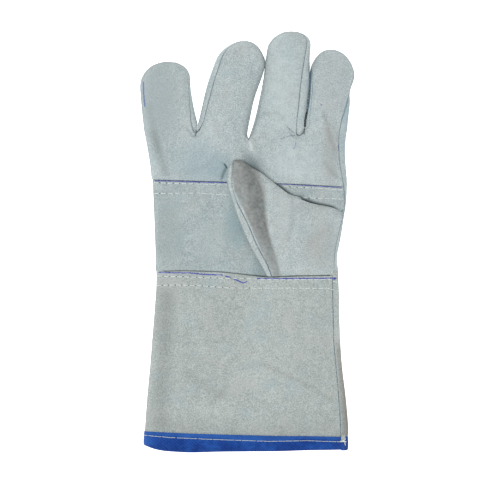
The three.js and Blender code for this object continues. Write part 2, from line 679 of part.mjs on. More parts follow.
// Lower palm leather
const patchSkin = new Skin();
function patchRow(yAt, end, dip, inset = 0) {
  const leftY = yAt(handSections[0].left);
  const left = handAt(leftY, inset).left + (inset > 0 ? layerGap : 0);
  const right = end ?? handAt(yAt(handSections[0].seam), inset).seam;
  const points = [];
  for (let c = 0; c <= patchColumns; c += 1) {
    const t = mix((1 - Math.cos(Math.PI * (c / patchColumns))) / 2, c / patchColumns, patchEvenShare);
    const x = mix(left, right, t);
    const y = yAt(x);
    const sunk = dip * smooth((x - patchSink.fromX) / patchSink.over);
    points.push(new THREE.Vector3(x, y, topZ(handAt(y, inset), x) - sunk));
  }
  return points;
}
const patchGrid = [
  patchRow(patchY, null, 0),
  ...patchRows.map((row) => {
    const yAt = (x) => {
      if (row.offset === null) return row.y;
      const bend = smooth((x - patchBend.fromX) / patchBend.over);
      return mix(row.y, lineAt(thumbEdge, x) + row.offset, bend);
    };
    return patchRow(yAt, row.end, row.dip);
  }),
  patchRow((x) => cuffY(x) + dipLength, patchFootEnd, 0),
  patchRow((x) => cuffY(x) + dipEnd, patchFootEnd, 0, tuck),
  patchRow(() => tuckedY, patchFootEnd, 0, tuck),
];
patchSkin.grid(patchGrid, 'palm_patch');

// Normal of the hand's skin at a side seam, between the rows on either side of a height along Y
const skinNormals = skin.normals();
function seamNormal(side, y) {
  let r = 1;
  while (r < handRows.length - 1 && handRows[r][side][0].y > y) r += 1;
  const above = handRows[r - 1][side][0];
  const below = handRows[r][side][0];
  const t = clamp01((above.y - y) / (above.y - below.y));
  const [first, second] = [above, below].map((point) => skinNormals[skin.add(point)]);
  return first.clone().lerp(second, t).normalize();
}
const edgeReach = 0.6;
const patchEdgeNormal = (point) => {
  const inset = point.y < cuffY(point.x) + 1 ? tuck : 0;
  const section = handAt(point.y, inset);
  if (Math.abs(point.x - section.left) < edgeReach) return seamNormal('left', point.y);
  if (Math.abs(point.x - section.seam) < edgeReach) return seamNormal('right', point.y);
  return null;
};

// Folded thumb
const thumbSkin = new Skin();
const tuckedFrom = handRows.length - 2;
const tuckedStation = (station) => (station.handRow >= tuckedFrom ? tuck : 0);

function thumbValleyDepth(x, y) {
  const top = valleyLine[0];
  const foot = valleyLine[valleyLine.length - 1];
  const turned = valleyLine.map((point) => ({ x: -point.y, y: point.x }));
  const away = (x - lineAt(turned, -y)) / thumbValley.width;
  const fade = smooth((top.y - y) / thumbValley.fade) * smooth((y - foot.y) / thumbValley.fade);
  return thumbValley.depth * fade * Math.exp(-away * away);
}

const nearestOf = (values, target) => values.reduce((best, value) => (
  Math.abs(value - target) < Math.abs(best - target) ? value : best
));

const thumbFront = [];
const thumbBack = [];
thumbStations.forEach((station, k) => {
  const inset = tuckedStation(station);
  const layer = (x, y) => topZ(handAt(y, inset), x);
  const seamZ = k === 0 ? thumbTipHeight : thumbSeamHeight;
  const crownZ = k === 0 ? 0 : thumbCrownHeight;
  const handEnd = station.handRow === undefined ? null : handRows[station.handRow].right[0];
  const endX = handEnd ? handEnd.x : station.endX;
  const endY = handEnd ? handEnd.y : station.endY;
  const front = thumbColumns.map((column) => {
    const t = k === 0 ? nearestOf([0, ...thumbUnderColumns], column) : column;
    const x = mix(station.seamX, endX, t);
    const y = mix(station.seamY, endY, t);
    const rise = mix(seamZ, station.end, t) + crownZ * Math.sin(Math.PI * t) ** thumbCrownPower;
    const clear = handEnd ? layerGap * (1 - t) : layerGap;
    const valley = k === 0 ? 0 : thumbValleyDepth(x, y);
    return new THREE.Vector3(x, y, layer(x, y) + clear + rise * station.thick - valley);
  });
  if (handEnd) front[front.length - 1] = handEnd;
  const outZ = layer(station.outX, station.outY) + layerGap;
  const toSeam = (t, height) => new THREE.Vector3(
    mix(station.outX, station.seamX, t),
    mix(station.outY, station.seamY, t),
    outZ + height * station.thick,
  );
  const under = (t) => new THREE.Vector3(mix(station.seamX, endX, t), mix(station.seamY, endY, t), 0);
  const side = thumbStrip.map(({ across, height }) => (k === 0 ? front[0] : toSeam(across, height)));
  const strip = [front[0], ...side];
  const reach = station.under ?? 1;
  const closes = reach === 1;
  const lastColumn = thumbUnderColumns.length - 1;
  const riseAt = (i) => {
    if (k === 0) return thumbTipHeight;
    if (closes && i === lastColumn) return station.end;
    return closes && i === lastColumn - 1 ? thumbFloorRise : 0;
  };
  const floor = thumbUnderColumns.map((t, i) => {
    const point = under(t * reach);
    point.z = layer(point.x, point.y) + layerGap + riseAt(i) * station.thick;
    return point;
  });
  if (closes) floor[lastColumn] = front[front.length - 1];
  thumbFront.push(front);
  thumbBack.push([...strip, ...floor]);
});
thumbSkin.grid(thumbFront, 'thumb_front');
thumbSkin.grid(thumbBack.map((row) => [...row].reverse()), 'thumb_back');
const onThumbRoot = (point) => {
  const onSeam = handRows.some((row) => row.right[0].distanceTo(point) < edgeReach);
  return onSeam ? seamNormal('right', point.y) : null;
};

// Loop round the cuff at a height along Y: it starts at the right-hand seam, runs over the front to the left
// fold and comes back underneath. The lift raises its under side off the surface inside the binding.
function cuffLoop(yAt, lift) {
  const section = (x) => {
    const y = yAt(x);
    return { ...handAt(y), floor: lift, y };
  };
  const points = [];
  const atSeam = section(handSections[0].seam);
  const seam = seamAngle(atSeam, atSeam.right - atSeam.seam);
  for (let c = 0; c <= cuffTopColumns; c += 1) {
    const angle = mix(seam, Math.PI, c / cuffTopColumns);
    const hand = angle < Math.PI / 2 ? 1 : -1;
    const rise = hand > 0 ? angle : Math.PI - angle;
    const here = section(sidePoint(atSeam, hand, rise, 0).x);
    const point = sidePoint(here, hand, rise, here.y);
    point.z += overThumb(point.x, here.y);
    points.push(point);
  }
  const atFold = section(atSeam.left);
  for (let s = 1; s <= sideSteps; s += 1) {
    points.push(sidePoint(atFold, -1, -backSeamAngle * (s / sideSteps), atFold.y));
  }
  for (let c = 0; c <= cuffBottomColumns; c += 1) {
    const x = mix(atFold.left + palmCorner, atSeam.right - palmCorner, c / cuffBottomColumns);
    const here = section(x);
    points.push(new THREE.Vector3(x, here.y, bottomZ(here, x)));
  }
  for (let s = 0; s <= sideSteps; s += 1) {
    points.push(sidePoint(atSeam, 1, mix(-backSeamAngle, seam, s / sideSteps), atSeam.y));
  }
  return points;
}

// Rise of the cuff over the foot of the thumb
function overThumb(x, y) {
  const fromLeft = smooth((x - thumbRise.startX) / thumbRise.climb);
  const toRight = clamp01((thumbRise.endX - x) / thumbRise.fall) ** thumbRise.power;
  return thumbRise.height * fromLeft * toRight * (1 - smooth((thumbRise.fadeY - y) / thumbRise.fade));
}

const mouthY = (x) => lineAt(mouthEdge, x);
const cuffLoops = cuffRows.map(({ down, lift }) => (
  cuffLoop((x) => mix(cuffY(x), mouthY(x), down), lift * mouthLift)
));
const cuffShape = new Skin();
cuffShape.grid(cuffLoops.map((loop) => [...loop].reverse()), 'cuff');
const cuffSkin = new Skin();
const slitWidth = 0.001;
const slit = new THREE.Vector3(slitWidth, 0, 0);
cuffSkin.grid(cuffLoops.map((loop) => {
  const cut = [...loop];
  cut[cut.length - 1] = cut[cut.length - 1].clone().add(slit);
  return cut.reverse();
}), 'cuff');
const onCuffSeam = (point) => {
  const ends = cuffLoops.some((loop) => loop[0].distanceTo(point) < slitWidth * 10);
  return ends ? cuffShape.normalNear(point) : null;
};

// Binding: a band folded over the mouth of the cuff, a U in section
function bindingGeometry() {
  const mouth = cuffLoop(mouthY, mouthLift).slice(0, -1);
  const upper = cuffLoop((x) => lineAt(bindingTop, x), mouthLift).slice(0, -1);
  const count = mouth.length;
  const outside = layerGap + bindingWall;
  const inside = -wall - layerGap - bindingWall;
  const rings = mouth.map((point, i) => {
    const along = mouth[(i + 1) % count].clone().sub(mouth[(i + count - 1) % count]).setY(0).normalize();
    const normal = new THREE.Vector3(along.z, 0, -along.x);
    const place = (base, offset, y) => base.clone().addScaledVector(normal, offset).setY(base.y + y);
    return [
      place(upper[i], outside, 0),
      place(point, outside, -layerGap),
      place(point, -wall / 2, -layerGap - bindingWall),
      place(point, inside, -layerGap),
      place(upper[i], inside, 0),
      place(upper[i], -wall - layerGap, 0),
      place(point, -wall - layerGap, -layerGap),
      place(point, layerGap, -layerGap),
      place(upper[i], layerGap, 0),
    ];
  });
  const size = rings[0].length;
  const triangles = [];
  for (let i = 0; i < count; i += 1) {
    const next = (i + 1) % count;
    for (let k = 0; k < size; k += 1) {
      const a = i * size + k;
      const b = i * size + ((k + 1) % size);
      const c = next * size + ((k + 1) % size);
      const d = next * size + k;
      triangles.push(a, d, c, a, c, b);
    }
  }
  return solid(rings.flat(), triangles);
}

const finish = (color, roughness) => new THREE.MeshStandardMaterial({ color, roughness, metalness: 0 });
const leather = (color) => finish(color, 0.95);

const glove = new THREE.Group();
function addPiece(name, geometry, material) {
  const mesh = new THREE.Mesh(geometry, material);
  mesh.name = name;
  glove.add(mesh);
}

addPiece('palm_fingers', skin.piece('palm_fingers'), leather(paleLeather));
addPiece('back_panel', skin.piece('back_panel'), leather(paleLeather));
for (const crotch of crotches) {
  addPiece(crotch.strip, skin.piece(crotch.strip, { gap: stripGap }), leather(paleLeather));
}
addPiece('palm_patch', patchSkin.piece('palm_patch', { edgeNormal: patchEdgeNormal }), leather(palmLeather));
addPiece('thumb_front', thumbSkin.piece('thumb_front', { edgeNormal: onThumbRoot }), leather(palmLeather));
addPiece('thumb_back', thumbSkin.piece('thumb_back'), leather(palmLeather));
addPiece('cuff', cuffSkin.piece('cuff', { edgeNormal: onCuffSeam }), leather(cuffLeather));
addPiece('cuff_binding', bindingGeometry(), finish(blueTwill, 0.85));

export default glove;
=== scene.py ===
# Split-leather gauntlet work glove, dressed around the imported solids.

import math

import bmesh
import bpy
import numpy as np
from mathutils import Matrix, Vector
from mathutils.bvhtree import BVHTree
from mathutils.kdtree import KDTree


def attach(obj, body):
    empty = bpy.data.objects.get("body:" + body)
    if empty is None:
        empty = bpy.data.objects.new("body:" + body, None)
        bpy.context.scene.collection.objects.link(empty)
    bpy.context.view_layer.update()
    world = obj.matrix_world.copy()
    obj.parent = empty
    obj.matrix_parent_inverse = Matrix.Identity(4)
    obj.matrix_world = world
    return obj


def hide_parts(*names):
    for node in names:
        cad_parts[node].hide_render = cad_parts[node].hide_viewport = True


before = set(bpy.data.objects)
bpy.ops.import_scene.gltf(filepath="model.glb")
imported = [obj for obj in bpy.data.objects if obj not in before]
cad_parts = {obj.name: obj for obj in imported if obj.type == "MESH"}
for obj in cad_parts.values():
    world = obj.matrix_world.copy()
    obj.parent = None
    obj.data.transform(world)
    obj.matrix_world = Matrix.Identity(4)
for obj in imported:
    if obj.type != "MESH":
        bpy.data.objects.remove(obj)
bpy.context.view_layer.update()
print("glove: frame loaded")

mm = 0.001


def table(columns, *rows):
    # one dictionary for each row
    return [dict(zip(columns.split(), row)) for row in rows]


# sizes that several pieces share, in millimetres

# top edge of the lower palm leather and of the cuff, from left to right
patchEdge = [(-77.7, 50.5), (-49.5, 49.5), (-16.5, 48.5), (42.5, 46.5), (80.6, 44.5)]
cuffEdge = [(-74.6, -25.5), (-54.5, -24.5), (-22.5, -25.5), (1, -28), (17.5, -30), (42.5, -29), (73.5, -28.5)]

# outline of the folded thumb: its left side from the tip down, and its upper edge from the tip to the right
thumbLeft = [(-10.4, 66.3), (-13.6, 63.4), (-15.8, 56.5), (-16.8, 51), (-15.8, 44), (-11.4, 31),
             (-6.2, 17.5), (2, -1.5), (12.4, -19.6), (17.6, -28)]
thumbUpper = [(-6, 67.2), (1.6, 63.6), (6, 61), (13.5, 55.5), (21, 49.5), (29, 43.5), (37, 37.6), (45, 34.8),
              (52, 32.4), (57, 31), (69.5, 28.3), (76.5, 25.6)]

# creases in the leather
creases = table(
    "depth width line",
    (0.7, 1.2, [(34.2, 95), (37.6, 90.6)]), (0.5, 1.2, [(35, 87.3), (30, 86.2), (22, 83)]),
    (0.3, 2.4, [(12, 105.5), (22, 106.8), (30, 104.5)]), (0.5, 1.8, [(3, 84), (8, 80), (15, 77)]),
    (1.3, 1.1, [(-19, 64.2), (-16.9, 61.4), (-19.6, 57.8), (-20.6, 53.2)]),
    (0.5, 2.2, [(-44, -112.6), (-27, -114.8), (-9, -115.4)]),
    (0.4, 3, [(30, -62), (41, -66), (55, -67)]), (0.35, 2.4, [(38, 33), (39, 22), (41, 14)]))

# fine lines on the upper leather: painted shade and one painted highlight along puckers, and pen marks; half
# their width, how strong they are, their colour
shadowLine = (58, 80, 88)
fineLines = table(
    "half strength colour line",
    (0.4, 0.5, shadowLine, [(41.6, 88.4), (36, 87.6), (31.5, 86.5), (28, 84.8)]),
    (0.45, 0.5, shadowLine, [(33.6, 95.2), (37.2, 91.4), (39, 90)]),
    (0.9, 0.8, shadowLine, [(-18.6, 64), (-17, 61.2)]),
    (1.4, 0.45, shadowLine, [(-17, 61.2), (-19.4, 57), (-20.6, 52.5)]),
    # a painted highlight along a pucker's ridge
    (1.3, 0.75, (210, 215, 211), [(2.4, 82.5), (3.8, 76)]),
    (0.75, 0.9, (98, 116, 160), [(-86.5, 132.5), (-86.1, 122), (-85.2, 112.5)]),
    (0.4, 0.75, (96, 128, 190), [(40.6, 82.2), (40.4, 79.5), (38.9, 76.6)]),
    (0.6, 0.8, (74, 88, 140), [(76.2, 80), (76.5, 76.6), (77.4, 73.4)]),
    (0.5, 0.85, (66, 78, 138), [(61.6, 113.4), (62.3, 113.2)]))

# the narrowest stretch of the slit between the middle and the index finger, painted black as painted shade in
# the gap
slitLines = table(
    "half strength line",
    (0.45, 0.7, [(52.4, 129.5), (51.4, 117.8), (49.9, 107.8)]),
    (0.95, 0.95, [(49.8, 107), (48.6, 101), (48.3, 95.6)]))

# the sewn edge at the right-hand side, from the index finger down to the hem
sideSeam = [(87.4, 127.6), (82.7, 115.6), (79.7, 102), (76.8, 84.4), (76.2, 76), (79.5, 56), (80.2, 48.9),
            (81.4, 32.6), (75.8, 5.8), (71.8, -28), (72.4, -32), (74.4, -92), (75.7, -118), (78.2, -160)]

# sewn edges that show as a dark line, and how strongly
boldSeams = table(
    "strength line",
    (0.6, [(-20.9, 157.9), (-23.4, 151.2), (-28.4, 127.8), (-33.4, 111.1), (-37, 97)]),
    (0.5, [(49.3, 167.9), (47.6, 151.2), (45.1, 134.5), (44, 117.8), (41.9, 89)]),
    (0.75, sideSeam[:6]), (0.75, sideSeam[5:10]), (1, sideSeam[10:]), (0.6, [(-47.2, 122), (-44, 93)]),
    (0.9, [(-6.5, 29), (1.5, 12.5), (16, -17.5), (22, -29)]))

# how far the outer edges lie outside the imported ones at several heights: at the left, at the right-hand
# seam and at the far right
rimShifts = table(
    "y left seam right",
    (140, 0, 0, 0.8), (128, 0.6, -0.8, 0.3), (115, 0.8, -1.4, 0.4), (104, 0.9, -0.8, 0.5),
    (88, 0.9, -0.2, 0.6), (62, 0.9, 0, 0.85), (52, 0.6, 0.4, 1.45), (14, 0.8, 0.6, 1.45),
    (-26, 0.8, 0, 1.5), (-34, 0.6, 0, 0.85), (-60, 0.6, -0.6, 0.5), (-84, 0.8, -1.2, 0.8),
    (-112, 0.8, -0.2, 0.9), (-146, 0.9, 0, 1.2), (-160, 1, 0, 1.3), (-166, 0.3, 0, 0.2))
rimReach = {"from": 58, "over": 16}

# where two fingers touch: how far the dark between them reaches, the line between them, how much each side
# closes in and how far both lie to the right
gaps = table(
    "dark line close shift",
    (0.6, [(-41.1, 113), (-41.1, 108), (-41.2, 101), (-41.2, 97), (-41.3, 94), (-41.8, 90)],
     [0, 0.3, 0.65, 1, 1, 0], [0] * 6),
    (1.1, [(15.2, 158), (15.1, 154.5), (15.2, 149.5), (15, 146), (14.4, 141), (12.5, 134.5), (9.6, 126)],
     [0, 0.2, 0.65, 0.7, 0.5, 0.25, 0], [0] * 7),
    (0.8, [(52.9, 152), (52.25, 143), (52, 133), (51.65, 128), (50.9, 120), (50.05, 113), (49, 105),
           (48.4, 98), (48.2, 93), (48.2, 90.5)],
     [0, 0.5, 0.7, 0.8, 0.8, 0.8, 0.9, 1.1, 1.3, 1.3], [0, 0.2, 0.5, 0.6, 0.6, 0.55, 0.3, 0, 0, 0]))
indexGap = gaps[2]
gapReach = 7.0

# where the leather is drawn to one side: between two fingers, and at the tip and the shoulder of the thumb
pulls = table(
    "centre reach move",
    ((-43.6, 92.5), 7, (-2, -4.4)), ((-38.6, 93), 5, (0.6, -1.8)), ((41.4, 90.5), 6.5, (-1.2, -3.6)),
    ((-9.5, 66), 6, (-0.4, 0.8)), ((3.5, 62.5), 12, (-0.3, -0.9)))

# a layer that runs under an edge dips close to it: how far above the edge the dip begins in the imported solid,
# how much nearer it lies here, and how far above the edge the layer has come to rest
lapDip = {"begins": 4.4, "nearer": 3.9, "rests": 13.0}

# how much higher the lower palm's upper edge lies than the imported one, at the left and at the right
patchRaise = {"left": 0.5, "right": 0.6}


def edgeAt(edge, x):
    return np.interp(x, [point[0] for point in edge], [point[1] for point in edge])


def acrossAt(line, y):
    # how far to the right a line lies that runs from the top down
    return np.interp(-y, [-point[1] for point in line], [point[0] for point in line])


def columnsAt(rows, y, *keys):
    heights = [-row["y"] for row in rows]
    return [np.interp(-y, heights, [row[key] for row in rows]) for key in keys]


def lineDistance(line, x, y):
    best = np.full(x.shape, 1e9)
    for (ax, ay), (bx, by) in zip(line, line[1:]):
        dx, dy = bx - ax, by - ay
        t = np.clip(((x - ax) * dx + (y - ay) * dy) / (dx * dx + dy * dy), 0, 1)
        best = np.minimum(best, np.hypot(x - ax - t * dx, y - ay - t * dy))
    return best


def smooth(t):
    t = np.clip(t, 0, 1)
    return t * t * (3 - 2 * t)


def gapPlaces(gap, y):
    heights = [-place[1] for place in gap["line"]]
    ended = smooth((y - gap["line"][-1][1] + 1.5) / 1.5)
    close, shift = (np.interp(-y, heights, gap[key]) for key in ("close", "shift"))
    return acrossAt(gap["line"], y), close * ended, shift


def rimSlide(x, y, column):
    # the outer edges drawn outwards; the column names the shift at the right
    left, right = columnsAt(rimShifts, y, "left", column)
    return np.where(x > 0, right, -left) * smooth((np.abs(x) - rimReach["from"]) / rimReach["over"])


def fingerSlide(x, y):
    # fingers that touch closed together, and the leather between them drawn down
    across, along = np.zeros(x.shape), np.zeros(x.shape)
    for gap in gaps:
        middle, close, shift = gapPlaces(gap, y)
        right = x - middle
        reach = smooth((gapReach - np.abs(right)) / gapReach)
        across += shift * reach - np.sign(right) * np.minimum(close * reach, 0.95 * np.abs(right))
    for pull in pulls:
        away = np.hypot(x - pull["centre"][0], y - pull["centre"][1])
        across += pull["move"][0] * smooth(1 - away / pull["reach"])
        along += pull["move"][1] * smooth(1 - away / pull["reach"])
    return across, along


def innerSlide(x, y, z):
    across, along = fingerSlide(x, y)
    return across + rimSlide(x, y, "seam"), along


def outerSlide(x, y, z):
    # the far right follows the seam beside it, and its own shift further out
    across, along = fingerSlide(x, y)
    beyond = smooth((x - acrossAt(sideSeam, y) - 0.4) / 3)
    return across + rimSlide(x, y, "seam") * (1 - beyond) + rimSlide(x, y, "right") * beyond, along


def dipSlide(edge, x, y):
    # draws the dip of a lower layer close to the edge that lies over it
    above = y - edgeAt(edge, x)
    return -np.interp(above, [0.2, lapDip["begins"], lapDip["rests"]], [0, lapDip["nearer"], 0])


def raiseSlide(x, y):
    above = y - edgeAt(patchEdge, x)
    raised = patchRaise["left"] + (patchRaise["right"] - patchRaise["left"]) * smooth((x - 20) / 20)
    return raised * smooth((above + 8) / 7) * smooth((12 - above) / 8)


def lapped(edge, raised):
    # the slide of a layer that runs under an edge, raised or not with the lower palm's upper edge
    def slide(x, y, z):
        across, along = innerSlide(x, y, z)
        return across, along + dipSlide(edge, x, y) + raised * raiseSlide(x, y)
    return slide


upperSlide = lapped(patchEdge, 1)
lowerSlide = lapped(cuffEdge, 0)
patchSlide = lapped(cuffEdge, 1)


def gapShade(x, y, z):
    # dark between fingers that touch
    shade = np.zeros(x.shape)
    for gap in gaps:
        middle, close, _ = gapPlaces(gap, y)
        shade = np.maximum(shade, 0.95 * smooth(1.5 - np.abs(x - middle) / gap["dark"]) * smooth(close / 0.4))
    return shade


def ripple(x, y, wavelength, seed):
    # waves in many directions, about 1 high
    waves = 9
    rng = np.random.default_rng(seed)
    total = np.zeros_like(x)
    for _ in range(waves):
        turn = rng.uniform(0, math.tau)
        step = math.tau / (wavelength * rng.uniform(0.7, 1.5))
        total += np.sin(step * (x * math.cos(turn) + y * math.sin(turn)) + rng.uniform(0, math.tau))
    return total / math.sqrt(waves / 2)


# how the palm side rises and falls: the same for every layer there, so that the layers keep their gaps
palmRelief = {"broad": 0.35, "broadWave": 46, "fine": 0.1, "fineWave": 11, "reliefFrom": 5, "reliefTo": 10}


def palmFolds(x, y):
    height = palmRelief["broad"] * ripple(x, y, palmRelief["broadWave"], 3)
    height += palmRelief["fine"] * ripple(x, y, palmRelief["fineWave"], 8)
    for crease in creases:
        # a groove between two low ridges
        away = lineDistance(crease["line"], x, y) / crease["width"]
        height += crease["depth"] * (0.35 * np.exp(-(away - 2.4) ** 2) - np.exp(-away ** 2))
    return height


# shader maths

def newNode(tree, kind, values, settings):
    # a node with its settings, its sockets fed from other sockets or with constants
    node = tree.nodes.new(kind)
    for key, value in settings.items():
        setattr(node, key, value)
    for key, value in values.items():
        feed(tree, node.inputs[key], value)
    return node


def feed(tree, socket, value):
    if isinstance(value, Wire):
        value = value.socket
    if isinstance(value, bpy.types.NodeSocket):
        tree.links.new(value, socket)
    else:
        socket.default_value = value


class Wire:
    # a shader socket that can stand in an expression
    def __init__(self, shade, socket):
        self.shade = shade
        self.socket = socket

    def maths(self, operation, *values):
        return self.shade.add("Math", dict(enumerate(values)), operation=operation)

    def __add__(self, other):
        return self.maths("ADD", self, other)

    def __radd__(self, other):
        return self.maths("ADD", other, self)

    def __sub__(self, other):
        return self.maths("SUBTRACT", self, other)

    def __rsub__(self, other):
        return self.maths("SUBTRACT", other, self)

    def __mul__(self, other):
        return self.maths("MULTIPLY", self, other)

    def __rmul__(self, other):
        return self.maths("MULTIPLY", other, self)

    def sine(self):
        return self.maths("SINE", self)


class Shade:
    # the node tree of one material
    def __init__(self, name):
        self.material = bpy.data.materials.new(name)
        self.material.use_nodes = True
        self.tree = self.material.node_tree
        self.shader = self.tree.nodes["Principled BSDF"]
        self.place = self.add("TexCoord", {}, "Object")

    def add(self, kind, values, output=0, **settings):
        return Wire(self, newNode(self.tree, "ShaderNode" + kind, values, settings).outputs[output])

    def vector(self, operation, *values):
        output = "Value" if operation in ("LENGTH", "DOT_PRODUCT") else 0
        return self.add("VectorMath", dict(enumerate(values)), output, operation=operation)

    def parts(self, vector):
        sockets = self.add("SeparateXYZ", {0: vector}).socket.node.outputs
        return [Wire(self, socket) for socket in sockets]

    def reading(self, name):
        # a value that the mesh carries at its points
        return self.add("Attribute", {}, "Fac", attribute_name=name)

    def noise(self, scale, detail, roughness, distortion=0):
        return self.add("TexNoise", {"Vector": self.place, "Scale": scale, "Detail": detail,
                                     "Roughness": roughness, "Distortion": distortion})

    def span(self, value, low, high, to=(0, 1)):
        return self.add("MapRange", {"Value": value, "From Min": low, "From Max": high, "To Min": to[0],
                                     "To Max": to[1]}, interpolation_type="SMOOTHSTEP")

    def mixColour(self, factor, first, second):
        first, second = (colour(*end) if isinstance(end, tuple) else end for end in (first, second))
        return self.add("Mix", {0: factor, 6: first, 7: second}, 2, data_type="RGBA")

    def tint(self, factor, shown, share):
        # a colour darkened to a share of itself, which keeps its mottling
        return self.add("Mix", {0: factor, 6: shown, 7: (*share, 1)}, 2, data_type="RGBA",
                        blend_type="MULTIPLY")

    def patch(self, centre, reach):
        # 1 at the centre of an oval on the surface, fading to 0 at its rim
        away = self.vector("SUBTRACT", self.place, [part * mm for part in centre])
        away = self.vector("DIVIDE", away, [part * mm for part in reach])
        return self.span(self.vector("LENGTH", away), 0.25, 1, (1, 0))

    def lineGap(self, line):
        # distance in millimetres, seen from above, to a line of points
        flat = self.vector("MULTIPLY", self.place, (1 / mm, 1 / mm, 0))
        nearest = None
        for start, end in zip(line, line[1:]):
            along = [b - a for a, b in zip(start, end)]
            square = sum(step * step for step in along)
            away = self.vector("SUBTRACT", flat, (*start, 0))
            share = self.vector("DOT_PRODUCT", away, (along[0] / square, along[1] / square, 0))
            share = self.add("Clamp", {"Value": share})
            reach = self.add("VectorMath", {0: (*along, 0), "Scale": share}, operation="SCALE")
            gap = self.vector("LENGTH", self.vector("SUBTRACT", away, reach))
            nearest = gap if nearest is None else nearest.maths("MINIMUM", nearest, gap)
        return nearest

    def bump(self, height, strength, depth):
        return self.add("Bump", {"Height": height, "Strength": strength, "Distance": depth})

    def finish(self, sockets):
        for key, value in sockets.items():
            feed(self.tree, self.shader.inputs[key], value)
        return self.material


def colour(*screen):
    # a screen colour, 0 to 255, as the linear colour that a socket takes
    def linear(value):
        return value / 12.92 if value <= 0.04045 else ((value + 0.055) / 1.055) ** 2.4
    return (*(linear(part / 255) for part in screen), 1.0)


suede = {
    "cloudScale": 30, "blotchScale": 170, "grainScale": 1000, "napScale": 1600, "hueScale": 46,
    "fleckScale": 420, "darkTone": 0.345, "lightTone": 0.655, "hueStrength": 0.3, "fleckStrength": 0.35,
    "steepStrength": 0.65, "seamReach": 0.5, "seamStrength": 0.8, "bumpStrength": 0.5, "bumpDepth": 0.0005,
}
coolGrey = (160, 181, 187)
warmGrey = (182, 183, 180)
neutralShade = (0.60, 0.59, 0.58)
warmShade = (0.54, 0.50, 0.48)
darkShade = (0.48, 0.50, 0.50)
brownShade = (0.56, 0.48, 0.44)


def suedeLeather(name, dark, light, patches=(), folds=(), extra=None):
    # extra adds the tones that one leather alone has
    shade = Shade(name)
    cloud = shade.noise(suede["cloudScale"], 3, 0.5)
    blotch = shade.noise(suede["blotchScale"], 4, 0.6, 0.4)
    shade.grain = grain = shade.noise(suede["grainScale"], 1, 0.5)
    nap = shade.noise(suede["napScale"], 2, 0.6)
    tone = cloud * 0.14 + blotch * 0.18 + grain * 0.5 + nap * 0.18
    shown = shade.mixColour(shade.span(tone, suede["darkTone"], suede["lightTone"]), dark, light)
    hue = shade.noise(suede["hueScale"], 4, 0.6)
    shown = shade.mixColour(shade.span(hue, 0.52, 0.68) * suede["hueStrength"], shown, coolGrey)
    shown = shade.mixColour(shade.span(hue, 0.48, 0.34) * suede["hueStrength"], shown, warmGrey)
    mottled = shade.span(blotch, 0.3, 0.7, (0.6, 1))
    for fold in folds:
        mask = shade.span(shade.lineGap(fold["line"]), 0, fold["half"], (fold["strength"], 0))
        shown = shade.tint(mask * mottled, shown, fold["share"])
    for area in patches:
        mask = shade.patch(area["centre"], area["reach"]) * area["strength"]
        shown = shade.mixColour(mask * mottled, shown, area["colour"])
    flecks = shade.span(shade.noise(suede["fleckScale"], 2, 0.5), 0.68, 0.75)
    shown = shade.mixColour(flecks * suede["fleckStrength"], shown, (104, 116, 118))
    if extra:
        shown = extra(shade, shown)
    # painted shade where one layer lies over another and between fingers that touch
    contact = shade.reading("shadeAmount") * shade.span(grain, 0.2, 0.8, (0.75, 1))
    shown = shade.mixColour(contact, shown, (66, 84, 88))
    # painted shade on the sides that turn down towards the floor
    shown = shade.tint(shade.reading("steepness") * suede["steepStrength"], shown, neutralShade)
    seam = shade.reading("seamAway") + (grain - 0.5) * 0.5
    line = shade.span(seam, 0.05, suede["seamReach"], (1, 0)) * shade.reading("seamTone")
    line = line * shade.span(blotch, 0.3, 0.65, (0.5, 1))
    shown = shade.mixColour(line * suede["seamStrength"], shown, (76, 102, 118))
    pile = grain * 0.6 + nap * 0.3 + blotch * 0.8
    return shade.finish({
        "Base Color": shown, "Roughness": shade.span(grain, 0.3, 0.7, (0.86, 0.97)),
        "Normal": shade.bump(pile, suede["bumpStrength"], suede["bumpDepth"]),
        "Sheen Weight": 0.1, "Sheen Roughness": 0.5, "Specular IOR Level": 0.15})


def foldTone(shade, shown):
    # painted shade down the thumb's long fold, warm and then dark, up to its sharp right side; the warm grey is
    # also the leather's own warmer tone
    worn = shade.noise(300, 3, 0.65)
    mottle = shade.span(shade.grain * 0.4 + worn * 0.6, 0.36, 0.62, (0.62, 1.1))
    shown = shade.tint(shade.reading("foldWarm") * mottle, shown, warmShade)
    return shade.tint(shade.reading("foldDark") * mottle, shown, darkShade)


def foldLines(shade, shown):
    # painted shade and a painted highlight along the puckers of the upper leather, and pen marks
    upper = shade.span(shade.parts(shade.place)[2], 6 * mm, 8 * mm)
    for crease in fineLines:
        gap = shade.lineGap(crease["line"]) + (shade.grain - 0.5) * 0.5
        mask = shade.span(gap, 0.3 * crease["half"], 1.3 * crease["half"], (crease["strength"], 0))
        shown = shade.mixColour(mask * upper, shown, crease["colour"])
    return dyedAndShaded(shade, shown)


def dyedAndShaded(shade, shown):
    # the side of the index finger beside the middle one is dark blue, part dye and part painted shade, and the
    # slit is painted black as painted shade in the gap
    dyeAndShadeMask = shade.reading("dyeAndShadeAmount") * shade.span(shade.grain, 0.25, 0.75, (0.7, 1))
    shown = shade.mixColour(dyeAndShadeMask, shown, (64, 104, 134))
    for slit in slitLines:
        gap = shade.lineGap(slit["line"]) + (shade.grain - 0.5) * 0.3
        mask = shade.span(gap, 0.6 * slit["half"], 1.2 * slit["half"], (slit["strength"], 0))
        shown = shade.mixColour(mask, shown, (20, 28, 36))
    return shown


def dyedAndShadedStrip(shade, shown):
    # painted shade in the slit, painted black over the dark blue
    return shade.mixColour(shade.reading("slitAmount"), dyedAndShaded(shade, shown), (16, 26, 38))


def brownStrip(shade, shown):
    # the cuff's narrow strip beyond its side seam is browner towards its edge
    amount = shade.reading("brownAmount") * shade.span(shade.grain, 0.2, 0.8, (0.75, 1))
    return shade.tint(amount, shown, brownShade)
